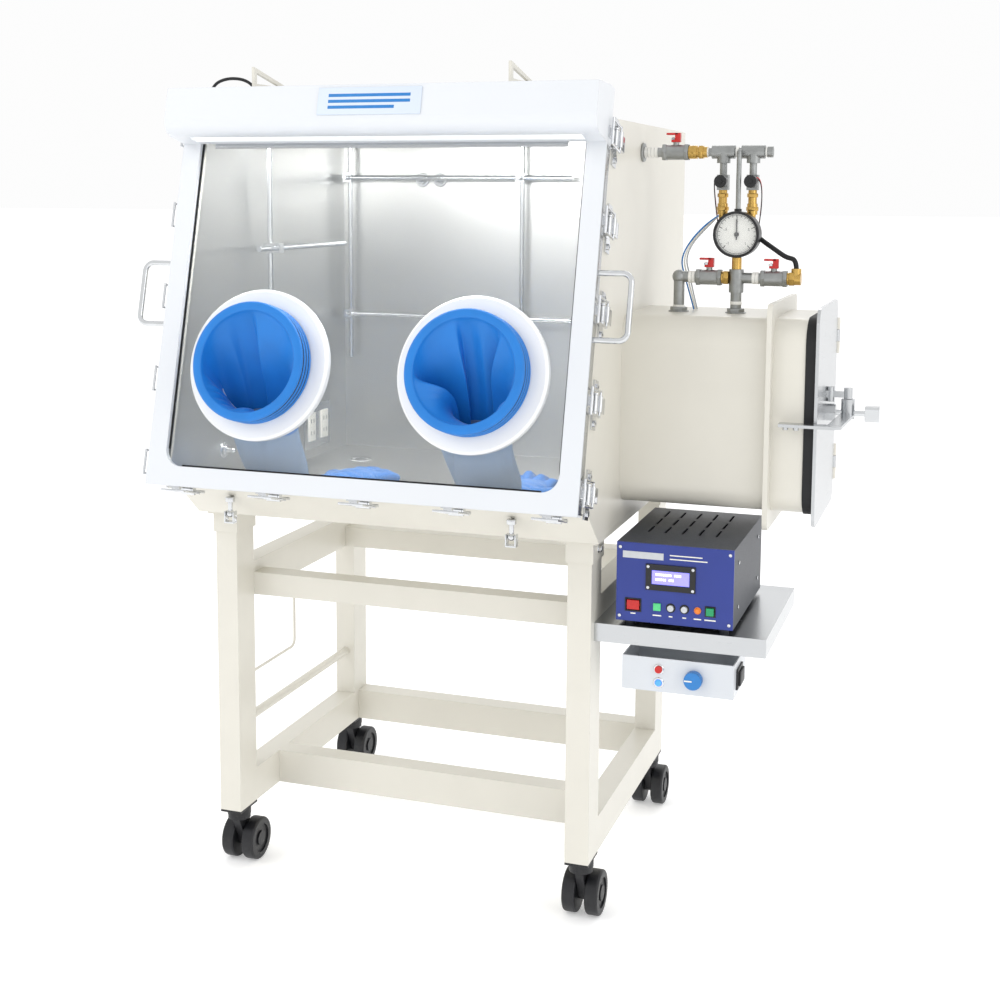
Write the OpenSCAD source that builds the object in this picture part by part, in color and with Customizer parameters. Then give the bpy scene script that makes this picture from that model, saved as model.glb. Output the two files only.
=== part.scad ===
// Laboratory glove box on a wheeled stand, with an airlock box on its right wall.
// Millimetres. X runs across the front, Y towards the back, Z up.
// The origin is on the floor, under the centre of the stand.

/* [Stand] */
// Height of the leg tops above the floor
stand_h = 644; // [560:1:780]
// Depth over the legs
stand_d = 544; // [480:1:660]
// Width of the rectangular tube
tube_w = 40; // [36:1:50]
// Height of the rectangular tube
tube_h = 60; // [52:1:72]
// Wall of the rectangular tube
tube_t = 2.5; // [1.5:0.5:4]
// Height of the upper side rails' undersides
upper_rail_z = 487; // [420:1:500]
// Distance of the lower front crossbar behind the legs' front
crossbar_setback = 147; // [100:1:200]

/* [Casters] */
// Height of the leg bottoms above the floor
caster_h = 107; // [104:1:130]
// Diameter of each wheel
wheel_d = 75; // [63:1:80]
// Width of each wheel
wheel_w = 23; // [18:1:26]
// Distance of the axle behind the swivel
trail = 25; // [18:1:30]

/* [Chamber] */
// Outside width of the chamber
chamber_w = 711; // [600:1:860]
// Outside height of the chamber
chamber_h = 662; // [640:1:800]
// Thickness of the painted shell
shell_t = 2.5; // [2:0.5:4]
// Thickness of the stainless liner
liner_t = 1.5; // [1:0.5:3]
// Width of the seat that the front seal lies on
seat_w = 13; // [10:1:14]
// Thickness of the front seal
seal_t = 7.6; // [6:0.1:12]
// Height of the work floor above the chamber's underside
floor_h = 22; // [16:1:26]

/* [Front panel] */
// Lean of the front panel from upright, in degrees
panel_tilt = 14.48; // [12:0.01:17]
// Thickness of the panel frame
panel_t = 22; // [20:1:26]
// Width of the frame's face round the window
border = 32; // [28:1:40]
// Radius of the window's corners
window_r = 28; // [20:1:40]
// Thickness of the window pane
pane_t = 8; // [5:1:10]
// Distance between the glove ports
port_pitch = 362; // [320:1:390]
// Height of the glove ports up the panel
port_up = 202; // [180:1:260]
// Outside radius of a glove port's ring
ring_r = 122; // [110:1:128]
// Outside radius of a glove port's collar
collar_r = 90; // [75:1:95]
// Depth of the lamp housing in front of the panel
lamp_d = 68; // [55:1:85]
// Height of the lamp housing
lamp_h = 89; // [80:1:110]

/* [Latches] */
// Latches in each row
latches = 5; // [3:1:6]
// Width of a latch lever
lever_w = 24; // [20:1:28]
// Radius of the pivot pins
pivot_r = 2; // [1.5:0.1:2.2]

/* [Pass box] */
// Depth of the pass box, along Y
pass_w = 252; // [210:1:290]
// Height of the pass box
pass_h = 312; // [260:1:330]
// Radius of the pass box's corners
pass_r = 40; // [20:1:60]
// Length of the pass box, from the chamber's wall to its mouth
pass_l = 295.5; // [260:0.5:360]
// Height of the pass box's centre above the chamber's underside
pass_up = 196; // [190:1:230]

/* [Controller] */
// Width of the controller
control_w = 188; // [160:1:220]
// Depth of the controller
control_d = 270; // [220:1:300]
// Height of the controller
control_h = 128; // [110:1:135]

/* [Hidden] */
$fn = 48;

paint = "ivory";
steel = "silver";
eps = 0.01;
gap = 0.3;           // air between pieces that move past each other
fit = 0.05;          // radial clearance of a running fit

// Stand
stand_w = chamber_w - 36;
leg_x = stand_w / 2 - tube_w / 2;
leg_y = stand_d / 2 - tube_h / 2;
bracket_t = 3;
bracket_h = 33;
bracket_plate = 6;
crossbar_h = 40;

// Casters
plate_t = 4;
cup_h = 11;
cup_r = 21;
kingpin_r = 6;
axle_r = 4;
web_w = 14;
fork_top = caster_h - plate_t - cup_h - 0.5;

// Chamber outline, in the Y-Z plane
chamber_z = stand_h + bracket_plate;
roof_z = chamber_z + chamber_h;
back_y = stand_d / 2 + 28;
belly_y = -stand_d / 2 - 25;
wall_x = chamber_w / 2;
seat_t = 6;
throat_l = 54;

// Front panel. It has its own frame: x across, s up the slope, n out of its face.
overlap = 7.5;
panel_w = chamber_w + 2 * overlap;
panel_y = -stand_d / 2 - 180;
panel_z = chamber_z + 76;
panel_h = (roof_z + 48 - panel_z) / cos(panel_tilt);
seat_n = -panel_t - seal_t - gap - 0.1;
throat_s = overlap;
roof_s = (roof_z - panel_z - seat_n * sin(panel_tilt)) / cos(panel_tilt);
window_top = panel_h - 57;
rabbet = 10;
lip_t = 8;
ring_t = 14;
collar_out = 36;

// Hinge of the front panel
hinge_y = -stand_d / 2 + 150;
hinge_z = roof_z + 23;
hinge_x = chamber_w * 0.306;
hinge_pin_r = 6;
hinge_r = 13;
arm_t = 5;

// Latches, drawn with x towards the panel, y along the row, z out of the wall
pivot = [-44, 9];
bail_pivot = [-53, 14.5];
latch_low = 36;
latch_high = panel_h - 71;
latch_reach = chamber_w / 2 - 42.5;
bail_y = 19;
keeper_top = 12;

// Pass box
pass_y = -46;
pass_z = chamber_z + pass_up;
pass_t = 3;
mouth_x = wall_x + pass_l;
flange_x = mouth_x - 59;
flange_t = 8;
pass_seal_t = 15.5;
door_x = mouth_x + pass_seal_t + gap;
door_t = 5;
door_w = pass_w + 10;
door_h = pass_h + 36;
door_hinge_y = pass_y + door_w / 2 + 10;
door_hinge_x = door_x + door_t / 2;
clamp_z = pass_z - 4;
clamp_x = door_x + 39;
inner_x = wall_x - shell_t - liner_t;
inner_door_x = inner_x - 3 - gap - 3;
inner_hinge_x = inner_door_x - 1;
inner_hinge_z = pass_z + pass_h / 2 + 14;

// Pipes on the right wall
pipe_y = pass_y - 26;
upper_y = pass_y;
pass_top = pass_z + pass_h / 2;
upper_z = roof_z - 47;
lower_z = pass_top + 58;
gauge_x = wall_x + 167;
gauge_z = lower_z + 71;
gauge_r = 37.5;
pipe_r = 8;
body_r = 12.5;

// Shelf, controller and supply box
shelf_z = upper_rail_z + 23;
shelf_x = stand_w / 2;
shelf_w = 276;
shelf_y = -stand_d / 2 + 18;
shelf_d = 326;
control_x = shelf_x + 35 + control_w / 2;
control_y = shelf_y + 4;
control_z = shelf_z + 8;
supply_w = 180;
supply_d = 112;
supply_h = 55;
supply_x = shelf_x + 47 + supply_w / 2;
supply_y = shelf_y + 2;
supply_z = shelf_z - 103;

// Y and Z of a point s up the slope and n out of the panel's face
function slope_y(s, n) = panel_y + s * sin(panel_tilt) - n * cos(panel_tilt);
function slope_z(s, n) = panel_z + s * cos(panel_tilt) + n * sin(panel_tilt);
function on_slope(s, n) = [slope_y(s, n), slope_z(s, n)];
function cross2(a, b) = a[0] * b[1] - a[1] * b[0];
// Where the line through p along d meets the line through q along e
function meet(p, d, q, e) = p + d * cross2(q - p, e) / cross2(d, e);
function unit(v) = v / norm(v);

throat_end = on_slope(throat_s, seat_n - throat_l);
belly = unit([belly_y, chamber_z] - throat_end);
belly_in = [-belly[1], belly[0]];

// Chamber outline, drawn in by t and cut off in front at n = face
function chamber_outline(t, face) = [
    on_slope(throat_s + t, face),
    meet(on_slope(throat_s + t, 0), [-cos(panel_tilt), sin(panel_tilt)], throat_end + t * belly_in, belly),
    meet(throat_end + t * belly_in, belly, [0, chamber_z + t], [1, 0]),
    [back_y - t, chamber_z + t],
    [back_y - t, roof_z - t],
    meet([0, roof_z - t], [1, 0], on_slope(0, face), [sin(panel_tilt), cos(panel_tilt)])
];

module on_panel() {
    translate([0, panel_y, panel_z]) rotate([90 - panel_tilt, 0, 0]) children();
}

// Draws a Y-Z shape from x to x + len
module along_x(x, len) {
    translate([x, 0, 0]) rotate([90, 0, 90]) linear_extrude(len) children();
}

module rod_x(x, y, z, len, r) {
    translate([x, y, z]) rotate([0, 90, 0]) cylinder(h = len, r = r);
}

module rod_y(x, y, z, len, r) {
    translate([x, y, z]) rotate([-90, 0, 0]) cylinder(h = len, r = r);
}

module rod_z(x, y, z, len, r) {
    translate([x, y, z]) cylinder(h = len, r = r);
}

module round_rect(w, h, r) {
    square([w - 2 * r, h], center = true);
    square([w, h - 2 * r], center = true);
    for (i = [-1, 1], j = [-1, 1])
        translate([i * (w / 2 - r), j * (h / 2 - r)]) circle(r);
}

module pass_shape(grow) {
    translate([pass_y, pass_z])
        round_rect(pass_w + 2 * grow, pass_h + 2 * grow, pass_r + grow);
}

module each_leg() {
    for (i = [-1, 1], j = [-1, 1]) translate([i * leg_x, j * leg_y, 0]) children();
}

// ---------------------------------------------------------------- stand

// Side frame of welded tube, open at the leg ends
module side_frame() {
    depth = stand_d - 2 * tube_h;
    color(paint) difference() {
        union() {
            for (j = [-1, 1])
                translate([-tube_w / 2, j * leg_y - tube_h / 2, caster_h])
                    cube([tube_w, tube_h, stand_h - caster_h]);
            for (z = [caster_h, upper_rail_z])
                translate([-tube_w / 2, -depth / 2 - eps, z])
                    cube([tube_w, depth + 2 * eps, tube_h]);
        }
        for (j = [-1, 1])
            translate([-tube_w / 2 + tube_t, j * leg_y - tube_h / 2 + tube_t, caster_h - 1])
                cube([tube_w - 2 * tube_t, tube_h - 2 * tube_t, stand_h - caster_h + 2]);
        for (z = [caster_h, upper_rail_z])
            translate([-tube_w / 2 + tube_t, -depth / 2 - tube_t - 1, z + tube_t])
                cube([tube_w - 2 * tube_t, depth + 2 * tube_t + 2, tube_h - 2 * tube_t]);
    }
}

module left_frame() translate([-leg_x, 0, 0]) side_frame();
module right_frame() translate([leg_x, 0, 0]) side_frame();

module crossbar(y, z, h) {
    span = stand_w - 2 * tube_w;
    color(paint) translate([-span / 2, y, z]) difference() {
        cube([span, tube_w, h]);
        translate([-1, tube_t, tube_t]) cube([span + 2, tube_w - 2 * tube_t, h - 2 * tube_t]);
    }
}

module crossbars() {
    crossbar(-stand_d / 2 + crossbar_setback, caster_h, tube_h);
    crossbar(stand_d / 2 - tube_w, caster_h, tube_h);
    crossbar(-stand_d / 2 + tube_h, upper_rail_z, crossbar_h);
    crossbar(stand_d / 2 - tube_h - tube_w, upper_rail_z, crossbar_h);
}

// Caps over the leg tops that carry the chamber
module leg_brackets() {
    color(paint) each_leg() difference() {
        union() {
            translate([-tube_w / 2 - bracket_t, -tube_h / 2 - bracket_t, stand_h - bracket_h])
                cube([tube_w + 2 * bracket_t, tube_h + 2 * bracket_t, bracket_h]);
            translate([-tube_w / 2 - 10, -tube_h / 2 - 10, stand_h])
                cube([tube_w + 20, tube_h + 20, bracket_plate]);
        }
        translate([-tube_w / 2, -tube_h / 2, stand_h - bracket_h - 1])
            cube([tube_w, tube_h, bracket_h + 1]);
    }
}

// Round hanging bar and thin bent rod between the left legs
module side_rods() {
    bar_z = caster_h + 148;
    rod_low = caster_h + 228;
    rod_r = 2.5;
    bend = 14;
    drop_y = -18;
    color(paint) rod_y(-leg_x, -stand_d / 2 + tube_h, bar_z, stand_d - 2 * tube_h, 8);
    color(steel) translate([-leg_x, drop_y, 0]) {
        rod_z(0, 0, rod_low + bend, upper_rail_z - rod_low - bend, rod_r);
        translate([0, -bend, rod_low + bend]) rotate([90, 0, 90])
            rotate([0, 0, -90]) rotate_extrude(angle = 90) translate([bend, 0]) circle(rod_r);
        rod_y(0, -stand_d / 2 + tube_h - drop_y, rod_low,
              stand_d / 2 - tube_h + drop_y - bend, rod_r);
    }
}

// ---------------------------------------------------------------- casters

// Mounting plates with their bearing cups
module caster_plates() {
    color("dimgray") each_leg() difference() {
        union() {
            translate([-tube_w / 2, -tube_h / 2, caster_h - plate_t]) cube([tube_w, tube_h, plate_t]);
            rod_z(0, 0, caster_h - plate_t - cup_h, cup_h + eps, cup_r);
        }
        rod_z(0, 0, caster_h - plate_t - cup_h - 1, cup_h + 1, kingpin_r + fit);
    }
}

// Swivelling body between the two wheels, with its kingpin
module caster_fork() {
    hub_r = 15;
    color("#1c1c1e") difference() {
        union() {
            rod_z(0, 0, fork_top - 7, 7, cup_r - 1);
            rod_z(0, 0, fork_top - eps, cup_h - 1, kingpin_r);
            rod_x(-web_w / 2, trail, wheel_d / 2, web_w, hub_r);
            along_x(-web_w / 2, web_w) polygon([
                [-14, fork_top - 7 + eps], [trail - hub_r + 1, wheel_d / 2 - 3],
                [trail, wheel_d / 2], [trail + hub_r - 1, wheel_d / 2 + 3], [18, fork_top - 7 + eps]
            ]);
        }
        rod_x(-web_w / 2 - 1, trail, wheel_d / 2, web_w + 2, axle_r + fit);
    }
}

// Two wheels on one axle
module caster_wheels() {
    r = wheel_d / 2;
    edge = 4;
    inner = web_w / 2 + 1;
    color("#1c1c1e") translate([0, trail, r]) {
        rod_x(-inner - 3, 0, 0, 2 * inner + 6, axle_r);
        for (i = [-1, 1]) rotate([0, i * 90, 0]) translate([0, 0, inner])
            rotate_extrude() difference() {
                union() {
                    square([r - edge, wheel_w]);
                    translate([0, edge]) square([r, wheel_w - 2 * edge]);
                    for (z = [edge, wheel_w - edge]) translate([r - edge, z]) circle(edge);
                }
                translate([13, wheel_w - 3]) square([12, 4]);
            }
    }
}

module at_caster(i, j) translate([i * leg_x, j * leg_y, 0]) children();

module front_left_fork() at_caster(-1, -1) caster_fork();
module front_right_fork() at_caster(1, -1) caster_fork();
module rear_left_fork() at_caster(-1, 1) caster_fork();
module rear_right_fork() at_caster(1, 1) caster_fork();
module front_left_wheels() at_caster(-1, -1) caster_wheels();
module front_right_wheels() at_caster(1, -1) caster_wheels();
module rear_left_wheels() at_caster(-1, 1) caster_wheels();
module rear_right_wheels() at_caster(1, 1) caster_wheels();

// ---------------------------------------------------------------- chamber

module chamber_block(t, face) {
    along_x(-wall_x + t, chamber_w - 2 * t) polygon(chamber_outline(t, face));
}

// Rectangle in the panel's frame that follows the chamber's front edge, drawn in by t
module seat_rect(t) {
    translate([-wall_x + t, throat_s + t]) square([chamber_w - 2 * t, roof_s - throat_s - 2 * t]);
}

// Painted outer shell with the seat for the front seal
module chamber_shell() {
    color(paint) difference() {
        union() {
            difference() {
                chamber_block(0, seat_n);
                chamber_block(shell_t, seat_n + 20);
            }
            on_panel() translate([0, 0, seat_n - seat_t]) linear_extrude(seat_t) difference() {
                seat_rect(1);
                seat_rect(shell_t + seat_w);
            }
        }
        along_x(wall_x - 10, 20) pass_shape(-pass_t);
    }
}

// Stainless lining of the work space
module chamber_liner() {
    color(steel) difference() {
        chamber_block(shell_t, seat_n - seat_t);
        intersection() {
            chamber_block(shell_t + liner_t, seat_n);
            translate([-wall_x, panel_y, chamber_z + floor_h]) cube([chamber_w, 3 * stand_d, chamber_h]);
        }
        along_x(wall_x - 10, 20) pass_shape(-pass_t);
    }
}

// Black seal round the front opening
module front_seal() {
    color("#161616") on_panel() translate([0, 0, seat_n]) linear_extrude(seal_t) difference() {
        seat_rect(1);
        seat_rect(shell_t + seat_w);
    }
}

// Ears on the roof, with the pins that the panel's arms turn on
module roof_hinges() {
    ear_y = arm_t / 2 + gap + 0.2;
    for (i = [-1, 1]) translate([i * hinge_x, 0, 0]) {
        color(paint) difference() {
            union() {
                for (j = [-1, 1]) translate([j * (ear_y + 2.5) - 2.5, 0, 0]) {
                    rod_x(0, hinge_y, hinge_z, 5, hinge_r);
                    translate([0, hinge_y - hinge_r, roof_z]) cube([5, 2 * hinge_r, hinge_z - roof_z]);
                }
                translate([-ear_y - 12, hinge_y - 28, roof_z]) cube([2 * ear_y + 24, 56, 4]);
            }
            rod_x(-20, hinge_y, hinge_z, 40, hinge_pin_r + fit);
        }
        color(steel) {
            rod_x(-ear_y - 6, hinge_y, hinge_z, 2 * ear_y + 12, hinge_pin_r);
            for (j = [-1, 1]) rod_x(j * (ear_y + 7) - 2, hinge_y, hinge_z, 4, hinge_pin_r + 3);
        }
    }
}

// Round rods and clamps on the back and left walls
module lattice() {
    r = 5;
    back = back_y - shell_t - liner_t - 30;
    left = -wall_x + shell_t + liner_t + 24;
    high = roof_z - 86;
    low = roof_z - 362;
    top = roof_z - shell_t - liner_t;
    color(steel) {
        difference() {
            union() {
                for (z = [high, low]) rod_x(-wall_x + 30, back, z, 470, r);
                for (x = [-wall_x + 27, -wall_x + 395]) translate([x, back, 0]) {
                    translate([-9, -9, high - 9]) cube([18, 22, 18]);
                    translate([-9, -9, low - 9]) cube([18, 22, 18]);
                }
            }
            for (x = [-wall_x + 27, -wall_x + 395])
                rod_z(x, back + 2 * r + gap, low - 80, high - low + 200, r + fit);
        }
        rod_z(-wall_x + 27, back + 2 * r + gap, low - 90, top - low + 90, r);
        rod_z(-wall_x + 395, back + 2 * r + gap, low + 10, top - low - 10, r);
        rod_z(left, -77, roof_z - 300, 300 - shell_t - liner_t, r);
        difference() {
            union() {
                rod_y(left + 2 * r + gap, -140, roof_z - 217, 360, r);
                translate([left - 9, -86, roof_z - 226]) cube([2 * r + 22, 18, 18]);
            }
            rod_z(left, -77, roof_z - 310, 310, r + fit);
        }
    }
}

// ---------------------------------------------------------------- front panel

module window_shape(grow, r) {
    h = window_top - border + 2 * grow;
    translate([0, (window_top + border) / 2]) round_rect(panel_w - 2 * border + 2 * grow, h, r);
}

module each_port() {
    for (i = [-1, 1]) translate([i * port_pitch / 2, port_up, 0]) children();
}

// White frame with a rabbet behind for the pane
module panel_frame() {
    color("white") on_panel() difference() {
        translate([-panel_w / 2, 0, -panel_t]) cube([panel_w, panel_h, panel_t]);
        translate([0, 0, -lip_t - 1]) linear_extrude(lip_t + 2) window_shape(0, window_r);
        translate([0, 0, -panel_t - 1]) linear_extrude(panel_t - lip_t + 1)
            window_shape(rabbet, 4);
    }
}

module window_pane() {
    color([0.8, 0.9, 0.95, 0.35]) on_panel() difference() {
        translate([0, 0, -lip_t - pane_t]) linear_extrude(pane_t) window_shape(rabbet - 0.3, 4);
        each_port() rod_z(0, 0, -lip_t - pane_t - 1, pane_t + 2, collar_r + 0.2);
    }
}

// Rings and collars that the gloves stretch over
module port_rings() {
    color("white") on_panel() each_port() rotate_extrude() polygon([
        [collar_r - 8, -lip_t - pane_t - 8], [collar_r, -lip_t - pane_t - 8], [collar_r, -lip_t],
        [ring_r, -lip_t], [ring_r, ring_t - lip_t - 4], [ring_r - 4, ring_t - lip_t],
        [collar_r, ring_t - lip_t], [collar_r, collar_out], [collar_r - 8, collar_out]
    ]);
}

// Cuff, sleeve and hand of one glove; side is -1 on the left and 1 on the right
module glove(side) {
    x = side * port_pitch / 2;
    low = chamber_z + floor_h;
    drift = side < 0 ? [-22, -32, -10, 24, 40] : [-22, -28, -20, -16, -8];
    reach = side < 0 ? 330 : 345;
    path = [
        [x, slope_y(port_up, -110), slope_z(port_up, -110), 52],
        [x + drift[0], slope_y(port_up, -125), low + 150, 46],
        [x + drift[1], slope_y(port_up, -130), low + 86, 40],
        [x + drift[2], slope_y(port_up, -190), low + 46, 24],
        [x + drift[3], slope_y(port_up, -280), low + 22, 16],
        [x + drift[4], slope_y(port_up, -reach), low + 19, 13]
    ];
    color("#1b6fc0") {
        on_panel() translate([x, port_up, 0]) rotate_extrude() polygon([
            [0, -30], [collar_r - 9, -30], [collar_r - 9, collar_out + gap],
            [collar_r + gap, collar_out + gap], [collar_r + gap, ring_t - lip_t + 1],
            [collar_r + 5, ring_t - lip_t + 1], [collar_r + 5, collar_out + 4],
            [collar_r - 16, collar_out + 4], [collar_r - 26, -10], [0, -10]
        ]);
        hull() {
            on_panel() translate([x, port_up, -32]) cylinder(h = 4, r = collar_r - 10, $fn = 32);
            translate([path[0][0], path[0][1], path[0][2]]) sphere(path[0][3], $fn = 24);
        }
        for (k = [0:len(path) - 2]) hull() for (p = [path[k], path[k + 1]])
            translate([p[0], p[1], p[2]]) sphere(p[3], $fn = 24);
    }
}

module left_glove() glove(-1);
module right_glove() glove(1);

// Lamp housing outline, with n as its first and s as its second coordinate
module lamp_shape(t) {
    r = 25;
    low = panel_h - lamp_h;
    polygon([
        [t, low + t], [lamp_d - r, low + t], [lamp_d - r, low + r], [lamp_d - t, low + r],
        [lamp_d - t, panel_h - 15 - t], [t, panel_h - t]
    ]);
    translate([lamp_d - r, low + r]) circle(r - t);
}

module lamp_extrude(w) {
    on_panel() translate([-w / 2, 0, 0]) rotate([90, 0, 90]) rotate([0, 0, 90])
        mirror([0, 1, 0]) linear_extrude(w) children();
}

module lamp_housing() {
    slot_w = 26;
    color("white") difference() {
        lamp_extrude(panel_w) lamp_shape(0);
        lamp_extrude(panel_w - 6) lamp_shape(2);
        lamp_extrude(panel_w - 60) translate([12, panel_h - lamp_h - 5]) square([slot_w, 10]);
    }
}

module lamp_tube() {
    len = panel_w - 70;
    color("lightyellow") on_panel() {
        rod_x(-len / 2, panel_h - lamp_h + 20, 25, len, 8);
        for (i = [-1, 1]) translate([i * (len / 2 + 9) - 9, panel_h - lamp_h + 8, 13])
            cube([18, 24, 24]);
    }
}

// Round bar handles on the panel's two sides
module panel_handles() {
    r = 4.5;
    out = 52;
    bend = 14;
    half = 51;
    mid = 315;
    color(steel) on_panel() for (i = [0, 1]) mirror([i, 0, 0])
        translate([panel_w / 2, mid, -panel_t / 2]) {
            for (j = [-1, 1]) {
                rod_x(0, j * half, 0, out - bend, r);
                translate([out - bend, j * (half - bend), 0]) rotate([0, 0, j > 0 ? 0 : -90])
                    rotate_extrude(angle = 90) translate([bend, 0]) circle(r);
            }
            rod_y(out, -half + bend, 0, 2 * (half - bend), r);
        }
}

// Triangular arms from the panel's head to the roof hinges
module hinge_arms() {
    head = on_slope(panel_h, -panel_t);
    foot = on_slope(panel_h - 33, -panel_t);
    over = slope_z(panel_h - 15, lamp_d) + gap + 1;
    front = hinge_y - 216;
    color(paint) for (i = [-1, 1]) difference() {
        along_x(i * hinge_x - arm_t / 2, arm_t) difference() {
            union() {
                translate([hinge_y, hinge_z]) circle(hinge_r);
                polygon([
                    foot, head, [head[0], over], [front, over], [front, over + 31],
                    [hinge_y + 3, hinge_z + hinge_r - 0.4], [hinge_y, hinge_z],
                    [hinge_y, hinge_z - hinge_r + 0.2]
                ]);
            }
            polygon([[front + 8, over + 5], [front + 92, over + 5], [front + 8, over + 22]]);
        }
        rod_x(i * hinge_x - 10, hinge_y, hinge_z, 20, hinge_pin_r + fit);
    }
}

// ---------------------------------------------------------------- latches

// Places a latch in each row: x towards the panel, y along the row, z outwards
module side_row(i) {
    pitch = (latch_high - latch_low) / (latches - 1);
    on_panel() mirror([i > 0 ? 1 : 0, 0, 0]) for (k = [0:latches - 1])
        translate([-wall_x, latch_low + k * pitch, 0]) rotate([0, -90, 0]) children();
}

module bottom_row() {
    pitch = 2 * latch_reach / (latches - 1);
    on_panel() for (k = [0:latches - 1])
        translate([-latch_reach + k * pitch, throat_s, 0])
            rotate([90, 0, 0]) rotate([0, 0, 90]) children();
}

module all_rows() {
    side_row(-1) children();
    side_row(1) children();
    bottom_row() children();
}

module across_y(x, z, w, r) translate([x, 0, z]) rotate([90, 0, 0]) cylinder(h = w, r = r, center = true);

// Base plate with two screw pads, two lugs and the pivot pin
module latch_base() {
    lug_y = lever_w / 2 + 1;
    difference() {
        union() {
            translate([-80, -17, 0]) cube([44, 34, 2]);
            for (j = [-1, 1]) {
                translate([-80, j * 27 - 11, 0]) cube([22, 22, 3]);
                translate([-69, j * 28, 3]) cylinder(h = 3, r = 5);
                translate([pivot[0] - 5, j * (lug_y + 1.25) - 1.25, 0]) cube([10, 2.5, pivot[1]]);
                translate([0, j * (lug_y + 1.25), 0]) across_y(pivot[0], pivot[1], 2.5, 5);
            }
            across_y(pivot[0], pivot[1], lever_w + 5, pivot_r);
        }
        for (j = [-1, 1]) translate([-69, j * 28, 4]) cylinder(h = 3, r = 2.5, $fn = 6);
    }
}

module latch_lever() {
    len = 40;
    difference() {
        union() {
            across_y(pivot[0], pivot[1], lever_w, 4.5);
            across_y(bail_pivot[0], bail_pivot[1], lever_w, 4);
            translate([pivot[0] - len, -lever_w / 2, 10.5]) cube([len, lever_w, 3]);
            translate([pivot[0] - len, 0, 11.4]) rotate([90, 0, 0])
                cylinder(h = lever_w, r = 2.4, center = true);
        }
        across_y(pivot[0], pivot[1], lever_w + 2, pivot_r + fit);
        across_y(bail_pivot[0], bail_pivot[1], lever_w + 2, pivot_r + fit);
    }
}

// Wire loop from the lever over the keeper
module latch_bail() {
    tip = -4;
    for (x = [bail_pivot[0], tip]) across_y(x, bail_pivot[1], 2 * (bail_y + pivot_r), pivot_r);
    for (j = [-1, 1]) translate([bail_pivot[0], j * bail_y, bail_pivot[1]]) rotate([0, 90, 0])
        cylinder(h = tip - bail_pivot[0], r = pivot_r * 0.95);
}

// Raised block on the panel's edge under the wire loop
module latch_keeper() {
    translate([-18, -9, overlap]) cube([13, 18, 2]);
    translate([-17, -7, overlap]) cube([6, 14, keeper_top - overlap]);
}

module latch_bases() color(steel) all_rows() latch_base();
module latch_keepers() color(steel) all_rows() latch_keeper();
module left_levers() color(steel) side_row(-1) latch_lever();
module right_levers() color(steel) side_row(1) latch_lever();
module bottom_levers() color(steel) bottom_row() latch_lever();
module left_bails() color(steel) side_row(-1) latch_bail();
module right_bails() color(steel) side_row(1) latch_bail();
module bottom_bails() color(steel) bottom_row() latch_bail();

// ---------------------------------------------------------------- pass box

// Knuckles of the outer door's two hinges: part 0 is fixed, part 1 turns
module door_knuckles(part) {
    for (z = [pass_z - 110, pass_z + 110]) for (k = part == 0 ? [-1, 1] : [0])
        translate([door_hinge_x, door_hinge_y, z + k * 20.5]) children();
}

module pass_box() {
    leaf_y = pass_y + pass_w / 2;
    color(paint) difference() {
        union() {
            along_x(wall_x, pass_l) pass_shape(0);
            along_x(flange_x, flange_t) translate([pass_y, pass_z])
                round_rect(pass_w + 38, pass_h + 48, 14);
            door_knuckles(0) {
                rod_z(0, 0, -10, 20, 6);
                translate([-40, leaf_y - door_hinge_y - 1, -10])
                    cube([mouth_x - door_hinge_x + 40, door_hinge_y - leaf_y + 3, 20]);
                translate([-40, leaf_y - door_hinge_y + 2.5, -10])
                    cube([34.5, door_hinge_y - leaf_y - 0.5, 20]);
                translate([-8, -2, -10]) cube([8, 4, 20]);
            }
        }
        along_x(wall_x - 1, pass_l + 2) pass_shape(-pass_t);
        door_knuckles(0) rod_z(0, 0, -11, 22, 3 + fit);
    }
    color(steel) for (z = [pass_z - 110, pass_z + 110])
        rod_z(door_hinge_x, door_hinge_y, z - 30.5, 61, 3);
    color(steel) {
        rod_y(inner_hinge_x, pass_y - 66, inner_hinge_z, 132, 2.5);
        for (y = [pass_y - 66, pass_y + 61])
            translate([inner_hinge_x - 4, y, inner_hinge_z - 4]) cube([inner_x - inner_hinge_x + 4, 5, 8]);
    }
}

// Seals at both ends of the pass box
module pass_seals() {
    color("#161616") {
        along_x(mouth_x, pass_seal_t) difference() {
            pass_shape(2);
            pass_shape(-pass_t - 4);
        }
        along_x(inner_x - 3, 3) difference() {
            pass_shape(6);
            pass_shape(-pass_t + 0.5);
        }
    }
}

// Outer door with its boss, and the hanger that the clamp strap turns on
module pass_door() {
    color(steel) difference() {
        union() {
            along_x(door_x, door_t) translate([pass_y, pass_z]) round_rect(door_w, door_h, 22);
            rod_x(door_x + door_t - eps, pass_y, clamp_z, 15, 14);
            rod_z(door_x + 11, pass_y, clamp_z + 18, 24, 6);
            translate([door_x + door_t - eps, pass_y - 5, clamp_z + 24]) cube([8, 10, 12]);
            translate([door_x + 11, pass_y - 3.5, clamp_z + 25]) cube([clamp_x - door_x - 11, 7, 10]);
            rod_z(clamp_x, pass_y, clamp_z + 23 + gap, 18, 7);
            rod_z(clamp_x, pass_y, clamp_z + 10, 20, 4);
            door_knuckles(1) {
                rod_z(0, 0, -10, 20, 6);
                translate([-door_t / 2, -12, -10]) cube([door_t, 11, 20]);
            }
        }
        door_knuckles(1) rod_z(0, 0, -11, 22, 3 + fit);
    }
}

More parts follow.
